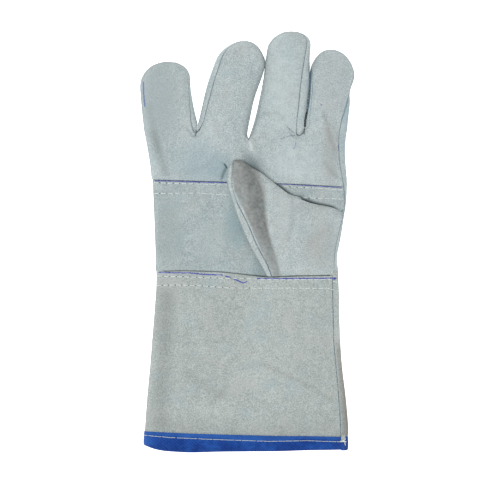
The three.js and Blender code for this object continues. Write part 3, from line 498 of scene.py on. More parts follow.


# areas of another tone, at places and reaches in millimetres, and painted shade along long soft folds, with
# half their width
brown = (158, 158, 154)
blueShade = (152, 172, 178)
paleBlue = (196, 208, 209)
paleDark = (152, 164, 166)
paleLight = (198, 208, 209)
areaColumns = "centre reach strength colour"
foldColumns = "half strength share line"
fingerPatches = table(
    areaColumns,
    # painted shade along the fold beside the index finger
    ((69, 74, 14), (10, 40, 30), 0.5, brown),
    ((72, 132, 14), (20, 40, 30), 0.35, (176, 181, 183)),
    ((-74, 116, 14), (26, 55, 30), 0.75, (156, 168, 170)),
    ((-46, 66, 14), (46, 27, 30), 0.35, blueShade),
    ((-38, 66, 14), (18, 24, 30), 0.3, (146, 170, 182)),
    ((-22, 60, 14), (14, 20, 30), 0.5, (138, 162, 170)),
    ((30, 130, 14), (24, 62, 30), 0.55, paleBlue),
    ((42, 64, 14), (36, 28, 30), 0.5, paleBlue))
fingerFolds = table(
    foldColumns,
    (5, 0.5, neutralShade, [(-81.5, 112), (-78, 92), (-74, 76)]),
    (6, 0.7, neutralShade, [(-77.5, 90), (-73.5, 75), (-68, 57)]),
    (3.8, 0.5, warmShade, [(64, 106), (67.6, 94), (69.9, 84.4), (73.5, 76)]),
    (3.8, 0.45, warmShade, [(65.2, 65.2), (71.1, 57.5), (74.7, 53.5)]),
    (3.4, 0.34, warmShade, [(14, 106), (24, 106.5), (31, 102)]),
    (3.5, 0.3, neutralShade, [(-50, 57), (-34, 62), (-26, 72)]),
    (2.6, 0.25, neutralShade, [(6, 84), (8, 75)]))
patchPatches = table(
    areaColumns,
    ((-66, 10, 14), (18, 46, 30), 0.5, (150, 158, 158)),
    ((-30, 0, 14), (22, 30, 30), 0.4, (176, 188, 188)),
    # darker teal beside the thumb's lower part: painted shade, together with the leather's own teal tone
    ((-8, 14, 14), (16, 30, 30), 0.55, (132, 160, 166)),
    ((9, -22, 14), (8, 14, 30), 0.4, (120, 146, 152)))
thumbPatches = table(
    areaColumns,
    ((62, -2, 14), (22, 30, 30), 0.4, brown),
    ((34, 20, 24), (16, 34, 30), 0.3, paleBlue))
thumbFolds = table(
    foldColumns,
    (4.4, 0.36, warmShade, [(38, 35), (38.6, 20), (34, 2)]),
    (6, 0.2, warmShade, [(52, -2), (70, 12)]))
cuffFolds = table(
    foldColumns,
    (13, 0.6, neutralShade, [(-67, -45), (-69, -85), (-71, -125), (-72, -150)]),
    # darker towards the bottom of the cuff
    (17, 0.3, neutralShade, [(-82, -156), (0, -159), (72, -159)]),
    (6, 0.2, warmShade, [(-50, -112), (-22, -128)]),
    (5, 0.3, warmShade, [(-29, -135), (-17, -122)]),
    (4, 0.26, warmShade, [(12, -102), (45, -117), (70, -132)]))
# the back leather shows as a narrow strip at the right, bluish beside the index finger
backPatches = table(
    areaColumns,
    ((84, 96, 8), (9, 46, 14), 0.5, (146, 176, 188)),
    ((80, 30, 8), (9, 50, 14), 0.35, (152, 172, 180)))
materials = {
    "fingers": suedeLeather("paleSuede", paleDark, paleLight, fingerPatches, fingerFolds, foldLines),
    "back": suedeLeather("backSuede", paleDark, paleLight, backPatches),
    "strips": suedeLeather("stripSuede", (162, 174, 176), (204, 214, 215), extra=dyedAndShadedStrip),
    "palm": suedeLeather("palmSuede", (143, 156, 157), (187, 198, 199), patchPatches),
    "thumb": suedeLeather("thumbSuede", (154, 164, 164), (198, 207, 207), thumbPatches, thumbFolds, foldTone),
    "thumbSide": suedeLeather("thumbSideSuede", (156, 166, 166), (198, 208, 208)),
    "cuff": suedeLeather("cuffSuede", (147, 156, 154), (191, 199, 196), (), cuffFolds, brownStrip),
}


twill = {"ribPitch": 0.0031, "threadPitch": 0.0008, "dark": (6, 44, 120), "light": (38, 92, 176),
         "hem": (62, 118, 196), "edgeShade": (0.45, 0.5, 0.56)}


def twillCloth(name):
    shade = Shade(name)
    across, along, _ = shade.parts(shade.place)
    ribs = ((across + along * 1.25) * (math.tau / twill["ribPitch"])).sine()
    threads = ((across - along) * (math.tau / twill["threadPitch"])).sine()
    worn = shade.noise(110, 4, 0.65)
    fuzz = shade.noise(900, 3, 0.7)
    tone = ribs * 0.05 + threads * 0.04 + worn * 0.6 + fuzz * 0.45
    shown = shade.mixColour(shade.span(tone, 0.3, 0.8), twill["dark"], twill["light"])
    shown = shade.mixColour(shade.reading("hemAmount") * 0.3, shown, twill["hem"])
    shown = shade.tint(shade.reading("edgeAmount"), shown, twill["edgeShade"])
    return shade.finish({
        "Base Color": shown, "Roughness": shade.span(fuzz, 0.3, 0.7, (0.75, 0.92)),
        "Normal": shade.bump(ribs * 0.5 + threads * 0.25 + fuzz * 0.4, 0.5, 0.0003),
        "Sheen Weight": 0.06, "Specular IOR Level": 0.2})


def threadAndHoleFinish(name, dark, light):
    shade = Shade(name)
    strand = shade.noise(1800, 3, 0.6)
    return shade.finish({
        "Base Color": shade.mixColour(shade.span(strand, 0.3, 0.7), dark, light),
        "Roughness": shade.span(strand, 0.3, 0.7, (0.7, 0.88)),
        "Normal": shade.bump(strand, 0.4, 0.0002), "Specular IOR Level": 0.3})


def penInk(name):
    shade = Shade(name)
    broken = shade.noise(520, 4, 0.7)
    pressed = shade.noise(130, 2, 0.5)
    tone = shade.span(broken * 0.5 + pressed * 0.5, 0.44, 0.64)
    return shade.finish({
        "Base Color": shade.mixColour(tone, (70, 76, 160), (130, 138, 186)),
        "Roughness": shade.span(broken, 0.3, 0.7, (0.8, 0.95)),
        "Normal": shade.bump(broken, 0.3, 0.0002), "Specular IOR Level": 0.2})


materials["twill"] = twillCloth("blueTwill")
materials["thread"] = threadAndHoleFinish("whiteThread", (206, 213, 212), (238, 242, 241))
materials["paleThread"] = threadAndHoleFinish("paleThread", (150, 168, 182), (214, 218, 214))
# dark dots at the needle holes: painted shade inside the holes
materials["hole"] = threadAndHoleFinish("needleHole", (66, 78, 82), (92, 104, 108))
materials["ink"] = penInk("markingInk")
print("glove: materials made")


# leather and cloth pieces

sharpAngle = math.radians(74)
cageRounds = 2
quietSeam = 0.12
seamSwell = 0.14  # how far sewn edges swell towards each other, in millimetres


def placed(name, data):
    item = bpy.data.objects.new(name, data)
    bpy.context.scene.collection.objects.link(item)
    return item


def readAll(items, field, width, kind=float):
    raw = np.zeros(len(items) * width, dtype=kind)
    items.foreach_get(field, raw)
    return raw.reshape(-1, width)


def meshPoints(mesh):
    return readAll(mesh.vertices, "co", 3)


def edgeEnds(mesh):
    return readAll(mesh.edges, "vertices", 2, int)


def flatNormals(mesh):
    return readAll(mesh.vertex_normals, "vector", 3)


def shownMesh(item):
    # the mesh of an object with its modifiers applied
    return bpy.data.meshes.new_from_object(item.evaluated_get(bpy.context.evaluated_depsgraph_get()))


def fineMesh(node, levels):
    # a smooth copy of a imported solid: merged, turned to quads, its cut edges kept crisp. Its cage is drawn
    # outwards, so that the smooth surface passes close to the solid's own corners.
    mesh = bpy.data.meshes.new(node + "Fine")
    form = bmesh.new()
    form.from_mesh(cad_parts[node].data)
    bmesh.ops.remove_doubles(form, verts=form.verts, dist=2e-6)
    bmesh.ops.join_triangles(form, faces=form.faces, angle_face_threshold=math.radians(50),
                             angle_shape_threshold=math.radians(60))
    crease = form.edges.layers.float.new("crease_edge")
    for edge in form.edges:
        if len(edge.link_faces) == 2 and edge.calc_face_angle(0) > sharpAngle:
            edge[crease] = 0.95
    form.to_mesh(mesh)
    form.free()
    holder = placed(node + "Holder", mesh)
    smoothing = holder.modifiers.new("smooth", "SUBSURF")
    smoothing.levels = smoothing.render_levels = levels
    aim = meshPoints(mesh)
    cage = aim.copy()
    for _ in range(cageRounds):
        fine = shownMesh(holder)
        cage += aim - meshPoints(fine)[:len(aim)]
        mesh.vertices.foreach_set("co", cage.ravel())
        mesh.update()
        bpy.data.meshes.remove(fine)
    fine = shownMesh(holder)
    bpy.data.objects.remove(holder)
    return fine


def seamDistances(mesh, points, isTurned):
    # distance in millimetres from every point to the nearest sewn edge of its piece
    creased = readAll(mesh.attributes["crease_edge"].data, "value", 1)[:, 0]
    marked = [i for i in np.unique(edgeEnds(mesh)[creased > 0.5]) if isTurned(*points[i])]
    tree = KDTree(len(marked))
    for i in marked:
        tree.insert(points[i], int(i))
    tree.balance()
    return np.array([tree.find(point)[2] for point in points])


def soften(mesh, heights, share, rounds):
    # evens out the heights of neighbouring points, each by its own share
    first, second = edgeEnds(mesh).T
    count = len(heights)
    beside = np.bincount(first, minlength=count) + np.bincount(second, minlength=count)
    for _ in range(rounds):
        total = np.bincount(first, heights[second], count) + np.bincount(second, heights[first], count)
        heights = heights + 0.5 * share * (total / beside - heights)
    return heights


def steepness(mesh):
    # 0 where the leather lies flat, 1 where it turns down to the floor
    return smooth((0.7 - np.abs(flatNormals(mesh)[:, 2])) / 0.45)


def seamTones(x, y):
    tone = np.full(x.shape, quietSeam)
    for seam in boldSeams:
        near = smooth((5 - lineDistance(seam["line"], x, y)) / 2)
        tone = np.maximum(tone, near * seam["strength"])
    return tone


def always(value):
    return lambda x, y, z: value


def dress(name, node, settings):
    mesh = fineMesh(node, settings.get("levels", 3))
    points = meshPoints(mesh) / mm
    away = seamDistances(mesh, points, settings.get("turned", always(True)))
    if "softened" in settings:
        share = settings["softened"](*points.T) * smooth((away - 1.2) / 2.5)
        points[:, 2] = soften(mesh, points[:, 2], share, settings["rounds"])
    points[:, :2] += seamSwell * flatNormals(mesh)[:, :2] * np.exp(-(away / 0.8) ** 2)[:, None]
    x, y, z = points.T
    upper = smooth((z - palmRelief["reliefFrom"]) / (palmRelief["reliefTo"] - palmRelief["reliefFrom"]))
    lift = palmFolds(x, y) * upper + settings.get("shape", always(0))(x, y, z)
    lift -= settings.get("roll", 0) * np.exp(-(away / 1.2) ** 2) * smooth((z - 4) / 6)
    across, along = settings.get("slide", innerSlide)(x, y, z)
    moved = np.column_stack([x + across, y + along, np.maximum(z + lift, np.minimum(z, 0))])
    mesh.vertices.foreach_set("co", (moved * mm).ravel())
    mesh.update()
    readings = {"seamAway": away, "seamTone": seamTones(x, y) * settings.get("seamShare", 1),
                "steepness": steepness(mesh) * settings.get("steepShare", always(1))(x, y, z)}
    readings.update({key: tone(x, y, z) for key, tone in settings.get("tones", {}).items()})
    for key, values in readings.items():
        mesh.attributes.new(key, "FLOAT", "POINT").data.foreach_set("value", values)
    form = bmesh.new()
    form.from_mesh(mesh)
    for face in form.faces:
        face.smooth = True
    for edge in form.edges:
        edge.smooth = len(edge.link_faces) != 2 or edge.calc_face_angle(0) < sharpAngle
    form.to_mesh(mesh)
    form.free()
    mesh.materials.clear()
    mesh.materials.append(materials[settings["material"]])
    piece = placed(name, mesh)
    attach(piece, "root")
    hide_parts(node)
    print("glove:", name, "has", sum(len(face.vertices) - 2 for face in mesh.polygons), "triangles")
    return piece


# shade where one layer lies over another: a fine line along the thumb's upper edge, and soft shade near it
contactShade = {"line": 0.95, "lineReach": 2.3, "soft": 0.76, "softReach": 13, "besideThumb": 0.12,
                "lap": 0.35, "lapReach": 0.7}


def outsideThumb(x, y):
    return smooth((x - thumbUpper[0][0] - 0.6) / 2.4) * (y > edgeAt(thumbUpper, x) - 3)


def palmShade(x, y, z):
    away = lineDistance(thumbUpper, x, y)
    line = contactShade["line"] * smooth(1 - away / contactShade["lineReach"]) * smooth((78 - x) / 10)
    nearTip = np.exp(-((x - 5.5) / 9.5) ** 2)
    soft = contactShade["soft"] * smooth(1 - away / contactShade["softReach"]) * nearTip
    return np.maximum(np.maximum(line, soft) * outsideThumb(x, y), gapShade(x, y, z))


def lapShade(x, y):
    return contactShade["lap"] * smooth(1 - np.abs(y - edgeAt(cuffEdge, x)) / contactShade["lapReach"])


def lowerShade(x, y, z):
    beside = smooth(1 - lineDistance(thumbLeft, x, y) / 8) * smooth((30 - y) / 40)
    return np.maximum(np.maximum(palmShade(x, y, z), lapShade(x, y)), contactShade["besideThumb"] * beside)


def fingerBases(x, y, z):
    # where the fingers grow out of the palm
    return smooth((y - 60) / 8) * smooth((138 - y) / 12)


# beside the index finger at several heights: how wide the dark blue reaches, part dye and part painted shade,
# and how dark the painted shade in the slit is
dyeAndShadeWidths = table("y width", (147, 1.2), (142, 2.8), (130, 2.2), (118, 2.5), (108, 2.4), (101, 1.9),
                  (96, 1.3), (92, 0.5))
slitStrengths = table("y dark", (148, 0.7), (138, 0.5), (128, 0.9), (96, 0.95))


def slitLine(x, y, z):
    # painted shade in the slit between the middle and the index finger
    middle, close, _ = gapPlaces(indexGap, y)
    slit = smooth(1.4 - np.abs(x - middle) / 0.75) * smooth(close / 0.4)
    return columnsAt(slitStrengths, y, "dark")[0] * slit


def dyeAndShadeNearIndex(x, y, z):
    # dark blue beside the slit: part dye, part painted shade
    middle, close, _ = gapPlaces(indexGap, y)
    right = x - middle
    reach = columnsAt(dyeAndShadeWidths, y, "width")[0] - right
    return 0.95 * smooth((right + 0.1) / 0.3) * smooth(reach / 0.8) * smooth(close / 0.3)


fingerLeather = {"material": "fingers", "slot": "pale_leather", "roll": 0.3, "softened": fingerBases,
                 "rounds": 40, "slide": upperSlide,
                 "tones": {"shadeAmount": palmShade, "dyeAndShadeAmount": dyeAndShadeNearIndex}}
upperPalm = dress("upperPalmAndFingers", "palm_fingers", fingerLeather)

backLeather = {"levels": 2, "material": "back", "slot": "pale_leather", "roll": 0.2, "slide": outerSlide,
               "tones": {"shadeAmount": gapShade}}
back = dress("backPanel", "back_panel", backLeather)

fourchette = {"material": "strips", "slot": "pale_leather", "roll": 0.1, "seamShare": 0.3,
              "steepShare": always(0.25),
              "tones": {"dyeAndShadeAmount": dyeAndShadeNearIndex, "slitAmount": slitLine, "shadeAmount": gapShade}}
strips = [dress(name, node, fourchette) for name, node in (
    ("stripLittleRing", "strip_little_ring"), ("stripRingMiddle", "strip_ring_middle"),
    ("stripMiddleIndex", "strip_middle_index"))]


def besidePatch(x, y, z):
    return y < edgeAt(patchEdge, x) - 3 and abs(x) > 60


patchLeather = {"material": "palm", "slot": "palm_leather", "roll": 0.4, "turned": besidePatch,
                "slide": patchSlide, "tones": {"shadeAmount": lowerShade}}
lowerPalm = dress("lowerPalm", "palm_patch", patchLeather)

# the thumb's long fold at several heights: where its warm grey begins, where its dark grey begins, its sharp
# right side, how far the dark fades beyond that side, and how strong both greys are. Both greys are painted
# shade in the fold, and the warm one is also the leather's own warmer tone.
foldBands = table(
    "y warm dark side fade strength",
    (66, -13.2, -4, 3, 6, 1), (57.4, -13.2, -3.5, 6, 7, 1), (50.5, -12.8, -4, 9.2, 7, 1),
    (41.9, -11.4, -3.5, 12.7, 5, 0.95), (25, -3.2, 2, 14.6, 3, 0.92), (12.1, 2.6, 8, 16, 2.4, 0.95),
    (3.6, 6, 11, 18.4, 2, 0.85), (-13.4, 13.8, 18, 23.6, 2, 0.62), (-24.6, 20.4, 23, 27.4, 2, 0.5))
foldForm = {"depth": 1.4, "slope": 13, "floor": 2.5, "rise": 3.4, "ridge": 0.3, "warm": 0.92, "dark": 0.63}


def foldOpened(y):
    return smooth((69 - y) / 12)


def thumbShape(x, y, z):
    right = x - columnsAt(foldBands, y, "side")[0]
    fall = smooth((right + foldForm["slope"]) / (foldForm["slope"] - foldForm["floor"]))
    rise = smooth((right + foldForm["floor"]) / foldForm["rise"])
    ridge = foldForm["ridge"] * np.exp(-((right + foldForm["slope"] + 3) / 4) ** 2)
    top = smooth((z - 15) / 4) * smooth((y + 30) / 8)
    tucked = 1.8 * smooth((x - 72) / 5) * smooth((y - edgeAt(thumbUpper, x) + 7) / 4)
    return top * foldOpened(y) * (ridge - foldForm["depth"] * (fall - rise)) - tucked


def thumbSlide(x, y, z):
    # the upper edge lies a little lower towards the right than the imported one
    across, along = lowerSlide(x, y, z)
    nearEdge = smooth((y - edgeAt(thumbUpper, x) + 9) / 8)
    return across, along - 1.3 * np.exp(-((x - 50) / 10) ** 2) * nearEdge


def thumbSideSlide(x, y, z):
    # a little wider at the left, halfway down
    across, along = lowerSlide(x, y, z)
    wider = 0.7 * smooth((34 - y) / 10) * smooth((y + 24) / 8)
    return across - wider * smooth((acrossAt(thumbLeft, y) + 3 - x) / 2), along


def thumbSteep(x, y, z):
    # the rounded tip gets hardly any painted edge shade at its left
    return 1 - 0.85 * smooth((-2.5 - x) / 2) * smooth((y - 50) / 6)


def foldWarm(x, y, z):
    warm, side, fade, strength = columnsAt(foldBands, y, "warm", "side", "fade", "strength")
    return foldForm["warm"] * strength * smooth((x - warm) / 1.8) * smooth((side + fade - x) / fade)


def foldDark(x, y, z):
    dark, side, strength = columnsAt(foldBands, y, "dark", "side", "strength")
    rise = smooth((x - dark + 1.5) / (0.75 * (side - dark)))
    return foldForm["dark"] * strength * rise * smooth((side + 0.6 - x) / 1.6) * foldOpened(y)


def footShade(x, y, z):
    return lapShade(x, y) * (x > 24)


thumbLeather = {"material": "thumb", "slot": "palm_leather", "roll": 0.3, "shape": thumbShape,
                "slide": thumbSlide, "steepShare": thumbSteep,
                "tones": {"foldWarm": foldWarm, "foldDark": foldDark, "shadeAmount": footShade}}
thumbFront = dress("thumbFront", "thumb_front", thumbLeather)
thumbSide = {"material": "thumbSide", "slot": "palm_leather", "roll": 0.2, "slide": thumbSideSlide,
             "steepShare": thumbSteep}
thumbBack = dress("thumbBack", "thumb_back", thumbSide)


def besideCuff(x, y, z):
    return x > 60 and y < edgeAt(cuffEdge, x) - 3


def cuffSlide(x, y, z):
    # its lower layer reaches up beside the hand at both corners, and its upper edge lies a little lower
    across, along = outerSlide(x, y, z)
    corner = smooth((np.abs(x) - 66) / 6) * smooth((y + 40) / 10) * smooth((11 - z) / 3)
    upper = smooth((y - edgeAt(cuffEdge, x) + 5) / 4) * smooth((z - 8) / 3)
    return across, along + 3.2 * corner - 0.4 * upper


def brownAmount(x, y, z):
    right = x - acrossAt(sideSeam, y) - 0.5
    return smooth(right / 0.8) * smooth((-78 - y) / 14) * (0.4 + 0.8 * smooth(right / 5))


cuffLeather = {"material": "cuff", "slot": "cuff_leather", "roll": 0.4, "turned": besideCuff,
               "slide": cuffSlide, "tones": {"brownAmount": brownAmount}}
cuff = dress("gauntletCuff", "cuff", cuffLeather)

# the row of stitches along the binding
bindingRow = [(-84.4, -162), (-62.6, -163.6), (-33.8, -164.8), (-6, -165.8), (19, -166.6), (51, -166.1),
              (76.8, -167.2)]


def bindingSlide(x, y, z):
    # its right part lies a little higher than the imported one, all but the thick corner at the seam
    corner = smooth((x - 77.6) / 2) * smooth((-168 - y) / 4)
    return -0.4 * smooth((x - 78) / 4), 0.7 * smooth((x - 20) / 40) - 0.75 * corner


def edgeAmount(x, y, z):
    # painted shade at the seam's corner and where the cloth turns down at its lower edge
    low = edgeAt(bindingRow, x) - y
    return np.maximum(0.9 * smooth((x - 81.2) / 1.5), 0.3 * smooth((low - 6.4) / 1.6))


def hemAmount(x, y, z):
    # paler above the row of stitches and at the left end
    return np.maximum(smooth((y - edgeAt(bindingRow, x)) / 0.8), smooth((-78 - x) / 6))


bindingCloth = {"material": "twill", "slot": "blue_twill", "slide": bindingSlide,
                "tones": {"hemAmount": hemAmount, "edgeAmount": edgeAmount}}
binding = dress("cuffBinding", "cuff_binding", bindingCloth)
print("glove: leather and binding dressed")


# thread, needle holes and ink, laid on the finished surfaces

rayStart = {"above": 90, "below": -60}


def surfaceOf(*objects):
    points, faces = [], []
    for item in objects:
        start = len(points)
        points += [vertex.co.copy() for vertex in item.data.vertices]
        faces += [[start + i for i in face.vertices] for face in item.data.polygons]
    return BVHTree.FromPolygons(points, faces)


palmSurface = surfaceOf(upperPalm, lowerPalm, thumbFront, thumbBack, cuff, binding, back, *strips)


def resample(line, step):
    xs, ys = np.array(line, dtype=float).T
    lengths = np.append(0, np.cumsum(np.hypot(np.diff(xs), np.diff(ys))))
    places = np.linspace(0, lengths[-1], max(2, round(lengths[-1] / step)) + 1)
    return list(zip(np.interp(places, lengths, xs), np.interp(places, lengths, ys)))


def onSurface(x, y, lift=0, below=False):
    start, way = (rayStart["below"], 1) if below else (rayStart["above"], -1)
    hit = palmSurface.ray_cast(Vector((x, y, start)) * mm, Vector((0, 0, way)))[0]
    return None if hit is None else Vector((x, y, hit.z / mm - way * lift))


def buildStitchTree():
    # repeats one short arch of thread, or one needle hole, along a path
    tree = bpy.data.node_groups.new("repeatAlongPath", "GeometryNodeTree")
    keys = {}
    kinds = {"Path": "Geometry", "Seed": "Int", "Finish": "Material"}
    for name in ("Path", "Spacing", "Length", "Radius", "Arch", "Wander", "Seed", "Finish"):
        kind = "NodeSocket" + kinds.get(name, "Float")
        keys[name] = tree.interface.new_socket(name=name, in_out="INPUT", socket_type=kind).identifier
    tree.interface.new_socket(name="Result", in_out="OUTPUT", socket_type="NodeSocketGeometry")
    inputs = tree.nodes.new("NodeGroupInput").outputs

    def make(kind, values, family="Geometry", **settings):
        return newNode(tree, family + "Node" + kind, values, settings).outputs[0]

    def times(value, factor):
        return make("Math", {0: value, 1: factor}, "Shader", operation="MULTIPLY")

    half = times(inputs["Length"], 0.5)
    sink = times(inputs["Radius"], -1.1)
    start = make("CombineXYZ", {0: times(half, -1), 2: sink}, "Shader")
    crown = make("CombineXYZ", {2: inputs["Arch"]}, "Shader")
    end = make("CombineXYZ", {0: half, 2: sink}, "Shader")
    arch = make("CurveQuadraticBezier", {"Resolution": 4, "Start": start, "Middle": crown, "End": end})
    ring = make("CurvePrimitiveCircle", {"Resolution": 6, "Radius": inputs["Radius"]})
    thread = make("CurveToMesh", {"Curve": arch, "Profile Curve": ring, "Fill Caps": True})
    curve = make("MeshToCurve", {"Mesh": inputs["Path"]})
    spaced = make("ResampleCurve", {"Curve": curve, "Length": inputs["Spacing"]}, mode="LENGTH")
    span = {0: times(inputs["Wander"], -1), 1: inputs["Wander"], "Seed": inputs["Seed"]}
    lean = make("RandomValue", span, "Function", data_type="FLOAT_VECTOR")
    way = make("VectorMath", {0: make("InputTangent", {}), 1: lean}, "Shader", operation="ADD")
    turn = make("AlignRotationToVector", {"Vector": way}, "Function", axis="X")
    repeat = make("InstanceOnPoints", {"Points": spaced, "Instance": thread, "Rotation": turn})
    real = make("RealizeInstances", {0: repeat})
    done = make("SetMaterial", {"Geometry": real, "Material": inputs["Finish"]})
    tree.links.new(done, tree.nodes.new("NodeGroupOutput").inputs[0])
    return tree, keys


stitchTree, stitchKeys = buildStitchTree()


def repeatAlong(name, lines, look, below=False):
    points, edges = [], []
    for line in lines:
        places = [onSurface(x, y, look["lift"], below) for x, y in resample(line, look["step"])]
        first = len(points)
        points += [place * mm for place in places if place is not None]
        edges += [(i, i + 1) for i in range(first, len(points) - 1)]
    mesh = bpy.data.meshes.new(name)
    mesh.from_pydata(points, edges, [])
    piece = placed(name, mesh)
    maker = piece.modifiers.new("repeat", "NODES")
    maker.node_group = stitchTree
    for key in ("Spacing", "Length", "Radius", "Arch"):
        maker[stitchKeys[key]] = look[key.lower()] * mm
    maker[stitchKeys["Wander"]] = look["wander"]
    maker[stitchKeys["Seed"]] = look["seed"]
    maker[stitchKeys["Finish"]] = materials[look["material"]]
    made = shownMesh(piece)
    piece.modifiers.clear()
    piece.data = made
    for face in made.polygons:
        face.use_smooth = True
    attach(piece, "root")
    print("glove:", name, "has", len(made.polygons), "faces")


# rows of stitches
lapRows = [
    [(-75.5, 48.7), (-49.5, 47.8), (-16.5, 46.8)], [(33, 45.2), (56, 44.2), (78, 42.8)],
    [(-75.5, 39.7), (-40, 40.1), (-17.5, 38.5)], [(49, 36), (56, 35.7), (78.5, 35.1)],
    [(-72.8, -29.2), (-40.1, -30.2), (-16.7, -31.2), (0.8, -31.3), (25.1, -32.1), (68.5, -32.1),
     (73.5, -34.1)],
    [(-73.5, -37), (-57.6, -36.6), (-40.1, -37.2), (-28.4, -38.1), (-10.9, -39.1), (6.7, -39.3),
     (30.1, -39.1), (68.5, -39.5), (76.4, -42.2)],
]
backRows = [[(-70, -30.5), (0, -31.5), (70, -31.5)], [(-70, -38.5), (0, -39.5), (70, -39.5)]]
knotEnds = [[(78.3, -166.9), (80.1, -166.5), (81.8, -165.2)], [(79.6, -167.1), (82.3, -167.3)],
            [(81.6, -168), (81.8, -169.6)]]
tipRow = [(-11.3, 64), (-11.9, 58), (-12.4, 52), (-12.2, 45.5)]

# sizes in millimetres; wander is how far each one leans from its row, step how closely the row is laid
lapStitch, needleHole, backStitch, bindingStitch, knotThread, tipStitch = table(
    "spacing length radius arch lift wander seed step material",
    (5.6, 4, 0.33, 0.95, 0.12, 0.06, 4, 1.2, "thread"),
    (5.6, 1, 0.42, 0.3, 0.02, 0.05, 5, 1.2, "hole"),
    (5.6, 4, 0.26, -0.29, -0.45, 0.06, 4, 1.2, "thread"),
    (5.9, 5.85, 0.27, 0.9, 0.12, 0.05, 9, 1.2, "paleThread"),
    (1, 1.5, 0.36, 0.8, 0.6, 0.3, 3, 0.5, "thread"),
    (2.1, 1.1, 0.2, 0.3, 0.05, 0.1, 6, 0.8, "hole"))


def halfStepOn(rows, spacing):
    shifted = []
    for (ax, ay), (bx, by), *rest in rows:
        part = spacing / 2 / math.hypot(bx - ax, by - ay)
        shifted.append([(ax + (bx - ax) * part, ay + (by - ay) * part), (bx, by), *rest])
    return shifted


repeatAlong("lapStitches", lapRows, lapStitch)
repeatAlong("lapNeedleHoles", halfStepOn(lapRows, lapStitch["spacing"]), needleHole)
repeatAlong("backLapStitches", backRows, backStitch, below=True)
repeatAlong("bindingStitches", [bindingRow], bindingStitch)
repeatAlong("bindingKnot", knotEnds, knotThread)
repeatAlong("thumbTipStitches", [tipRow], tipStitch)

inkStroke = {"width": 1.1, "wobble": 0.2, "thick": 0.05, "crown": 0, "drop": 0.15, "step": 0.7,
             "material": "ink", "slot": "palm_leather"}
inkLines = table(
    "share line",
    (0.85, [(-77, 50.3), (-67.7, 50.2), (-57.6, 49.8), (-49.3, 49.4), (-39.3, 49.1), (-29.2, 48.9),
            (-17, 48.5)]),
    (0.65, [(26.5, 47.6), (42.6, 46.8), (61.8, 45.6), (79.5, 44.5)]),
    (1, [(-74.2, -26.2), (-60.5, -26.5), (-45.9, -26.7), (-36.8, -27.8), (-22.6, -28.2), (-20, -28.5)]),
    (1, [(-18.4, -29.2), (-13.6, -30.2)]),
    (1, [(-11.9, -31.3), (-7.8, -32.9), (-3.7, -34.8), (-1.3, -34.6), (0.4, -33.4)]),
    (1, [(6.9, -31.2), (23.7, -31.4), (42.6, -31.1), (71.5, -31), (74.6, -31)]),
    (1, [(71.4, -30.2), (72.4, -31.8), (74.8, -31.2)]))

# the end of the cuff's side seam, which lies over the hem
seamLip = {"width": 3.9, "wobble": 0.08, "thick": 0.4, "crown": 0.2, "drop": 9, "step": 0.9,
           "material": "cuff", "slot": "cuff_leather"}


def layRibbon(name, line, look, seed):
    places = resample(line, look["step"])
    rng = np.random.default_rng(seed)
    rows = []
    for i, (x, y) in enumerate(places):
        ax, ay = places[max(0, i - 1)]
        bx, by = places[min(len(places) - 1, i + 1)]
        side = Vector((ay - by, bx - ax)).normalized()
        taper = 0.45 if i in (0, len(places) - 1) else 1
        half = look["width"] / 2 * taper * rng.uniform(0.7, 1.1)
        drift = rng.uniform(-1, 1) * look["wobble"]
        reaches = (drift - half, drift, drift + half)
        row = [onSurface(x + side.x * reach, y + side.y * reach) for reach in reaches]
        if None not in row:
            # a ribbon beside a laid edge lies across the groove, not down in it
            top = max(place.z for place in row)
            for place in row:
                place.z = max(place.z, top - look["drop"])
            row[1].z += look["crown"]
            rows.append(row)
    lifts = (Vector((0, 0, -0.03)), Vector((0, 0, look["thick"])))
    points = [(place + lift) * mm for lift in lifts for row in rows for place in row]
    count = len(rows) * 3
    faces = []
    for r in range(0, count - 3, 3):
        for a in (r, r + 1):
            faces.append((count + a, count + a + 1, count + a + 4, count + a + 3))
            faces.append((a, a + 3, a + 4, a + 1))
        faces += [(a, count + a, count + b, b) for a, b in ((r, r + 3), (r + 5, r + 2))]
    faces += [(a, count + a, count + b, b)
              for a, b in ((1, 0), (2, 1), (count - 3, count - 2), (count - 2, count - 1))]
    mesh = bpy.data.meshes.new(name)
    mesh.from_pydata(points, [], faces)
    form = bmesh.new()
    form.from_mesh(mesh)
    bmesh.ops.recalc_face_normals(form, faces=form.faces)
    form.to_mesh(mesh)
    form.free()
    mesh.materials.append(materials[look["material"]])
    piece = placed(name, mesh)
    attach(piece, "root")


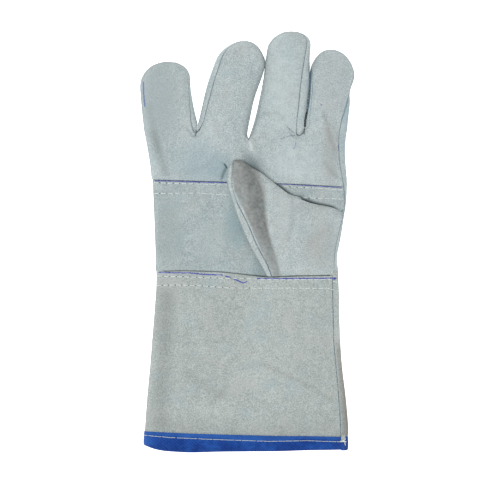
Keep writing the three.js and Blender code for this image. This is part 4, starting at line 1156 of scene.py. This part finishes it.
for number, stroke in enumerate(inkLines):
    look = {**inkStroke, "width": inkStroke["width"] * stroke["share"]}
    layRibbon(f"inkLine{number + 1}", stroke["line"], look, 20 + number)
layRibbon("cuffSeamLip", [(80, -161.6), (80.3, -167.6)], seamLip, 40)
print("glove: stitches, ink and seam lip laid")


# floor, light and camera

stageLook = {"floorHalf": 2, "floorLow": -1e-4, "floorGlow": 1, "worldStrength": 0.6, "keyPower": 9.7,
             "keySize": 0.6, "keyPlace": (-0.25, -0.18, 1.4)}
floorShade = Shade("paleFloor")
floorTone = floorShade.noise(4, 3, 0.5)
floorMaterial = floorShade.finish({
    "Base Color": floorShade.mixColour(floorTone, (250, 250, 250), (254, 254, 254)), "Roughness": 1,
    "Specular IOR Level": 0, "Emission Color": (1, 1, 1, 1), "Emission Strength": stageLook["floorGlow"]})
floorCorners = [(x * stageLook["floorHalf"], y * stageLook["floorHalf"], stageLook["floorLow"])
                for x, y in ((-1, -1), (1, -1), (1, 1), (-1, 1))]
floorMesh = bpy.data.meshes.new("floor")
floorMesh.from_pydata(floorCorners, [], [(0, 1, 2, 3)])
floorMesh.materials.append(floorMaterial)
floor = placed("floor", floorMesh)

world = bpy.data.worlds.new("studio")
world.use_nodes = True
sky = world.node_tree.nodes["Background"].inputs
sky[0].default_value = (1, 1, 1, 1)
sky[1].default_value = stageLook["worldStrength"]
bpy.context.scene.world = world

key = bpy.data.lights.new("softbox", "AREA")
key.energy = stageLook["keyPower"]
key.size = stageLook["keySize"]
keyHolder = placed("softbox", key)
keyHolder.location = stageLook["keyPlace"]
keyHolder.rotation_euler = (-Vector(stageLook["keyPlace"])).to_track_quat("-Z", "Y").to_euler()

cameraLook = {"lens": 300, "sensor": 36, "frameWidth": 417.6, "focusHeight": 8, "aim": (2.5, -7.5)}
lens = bpy.data.cameras.new("overhead")
lens.lens = cameraLook["lens"]
lens.sensor_width = cameraLook["sensor"]
lens.dof.use_dof = False
lens.clip_end = 10
camera = placed("overhead", lens)
reach = cameraLook["frameWidth"] * cameraLook["lens"] / cameraLook["sensor"]
camera.location = Vector((*cameraLook["aim"], reach + cameraLook["focusHeight"])) * mm
bpy.context.scene.camera = camera
bpy.context.scene.view_settings.view_transform = "Standard"
print("glove: stage set")
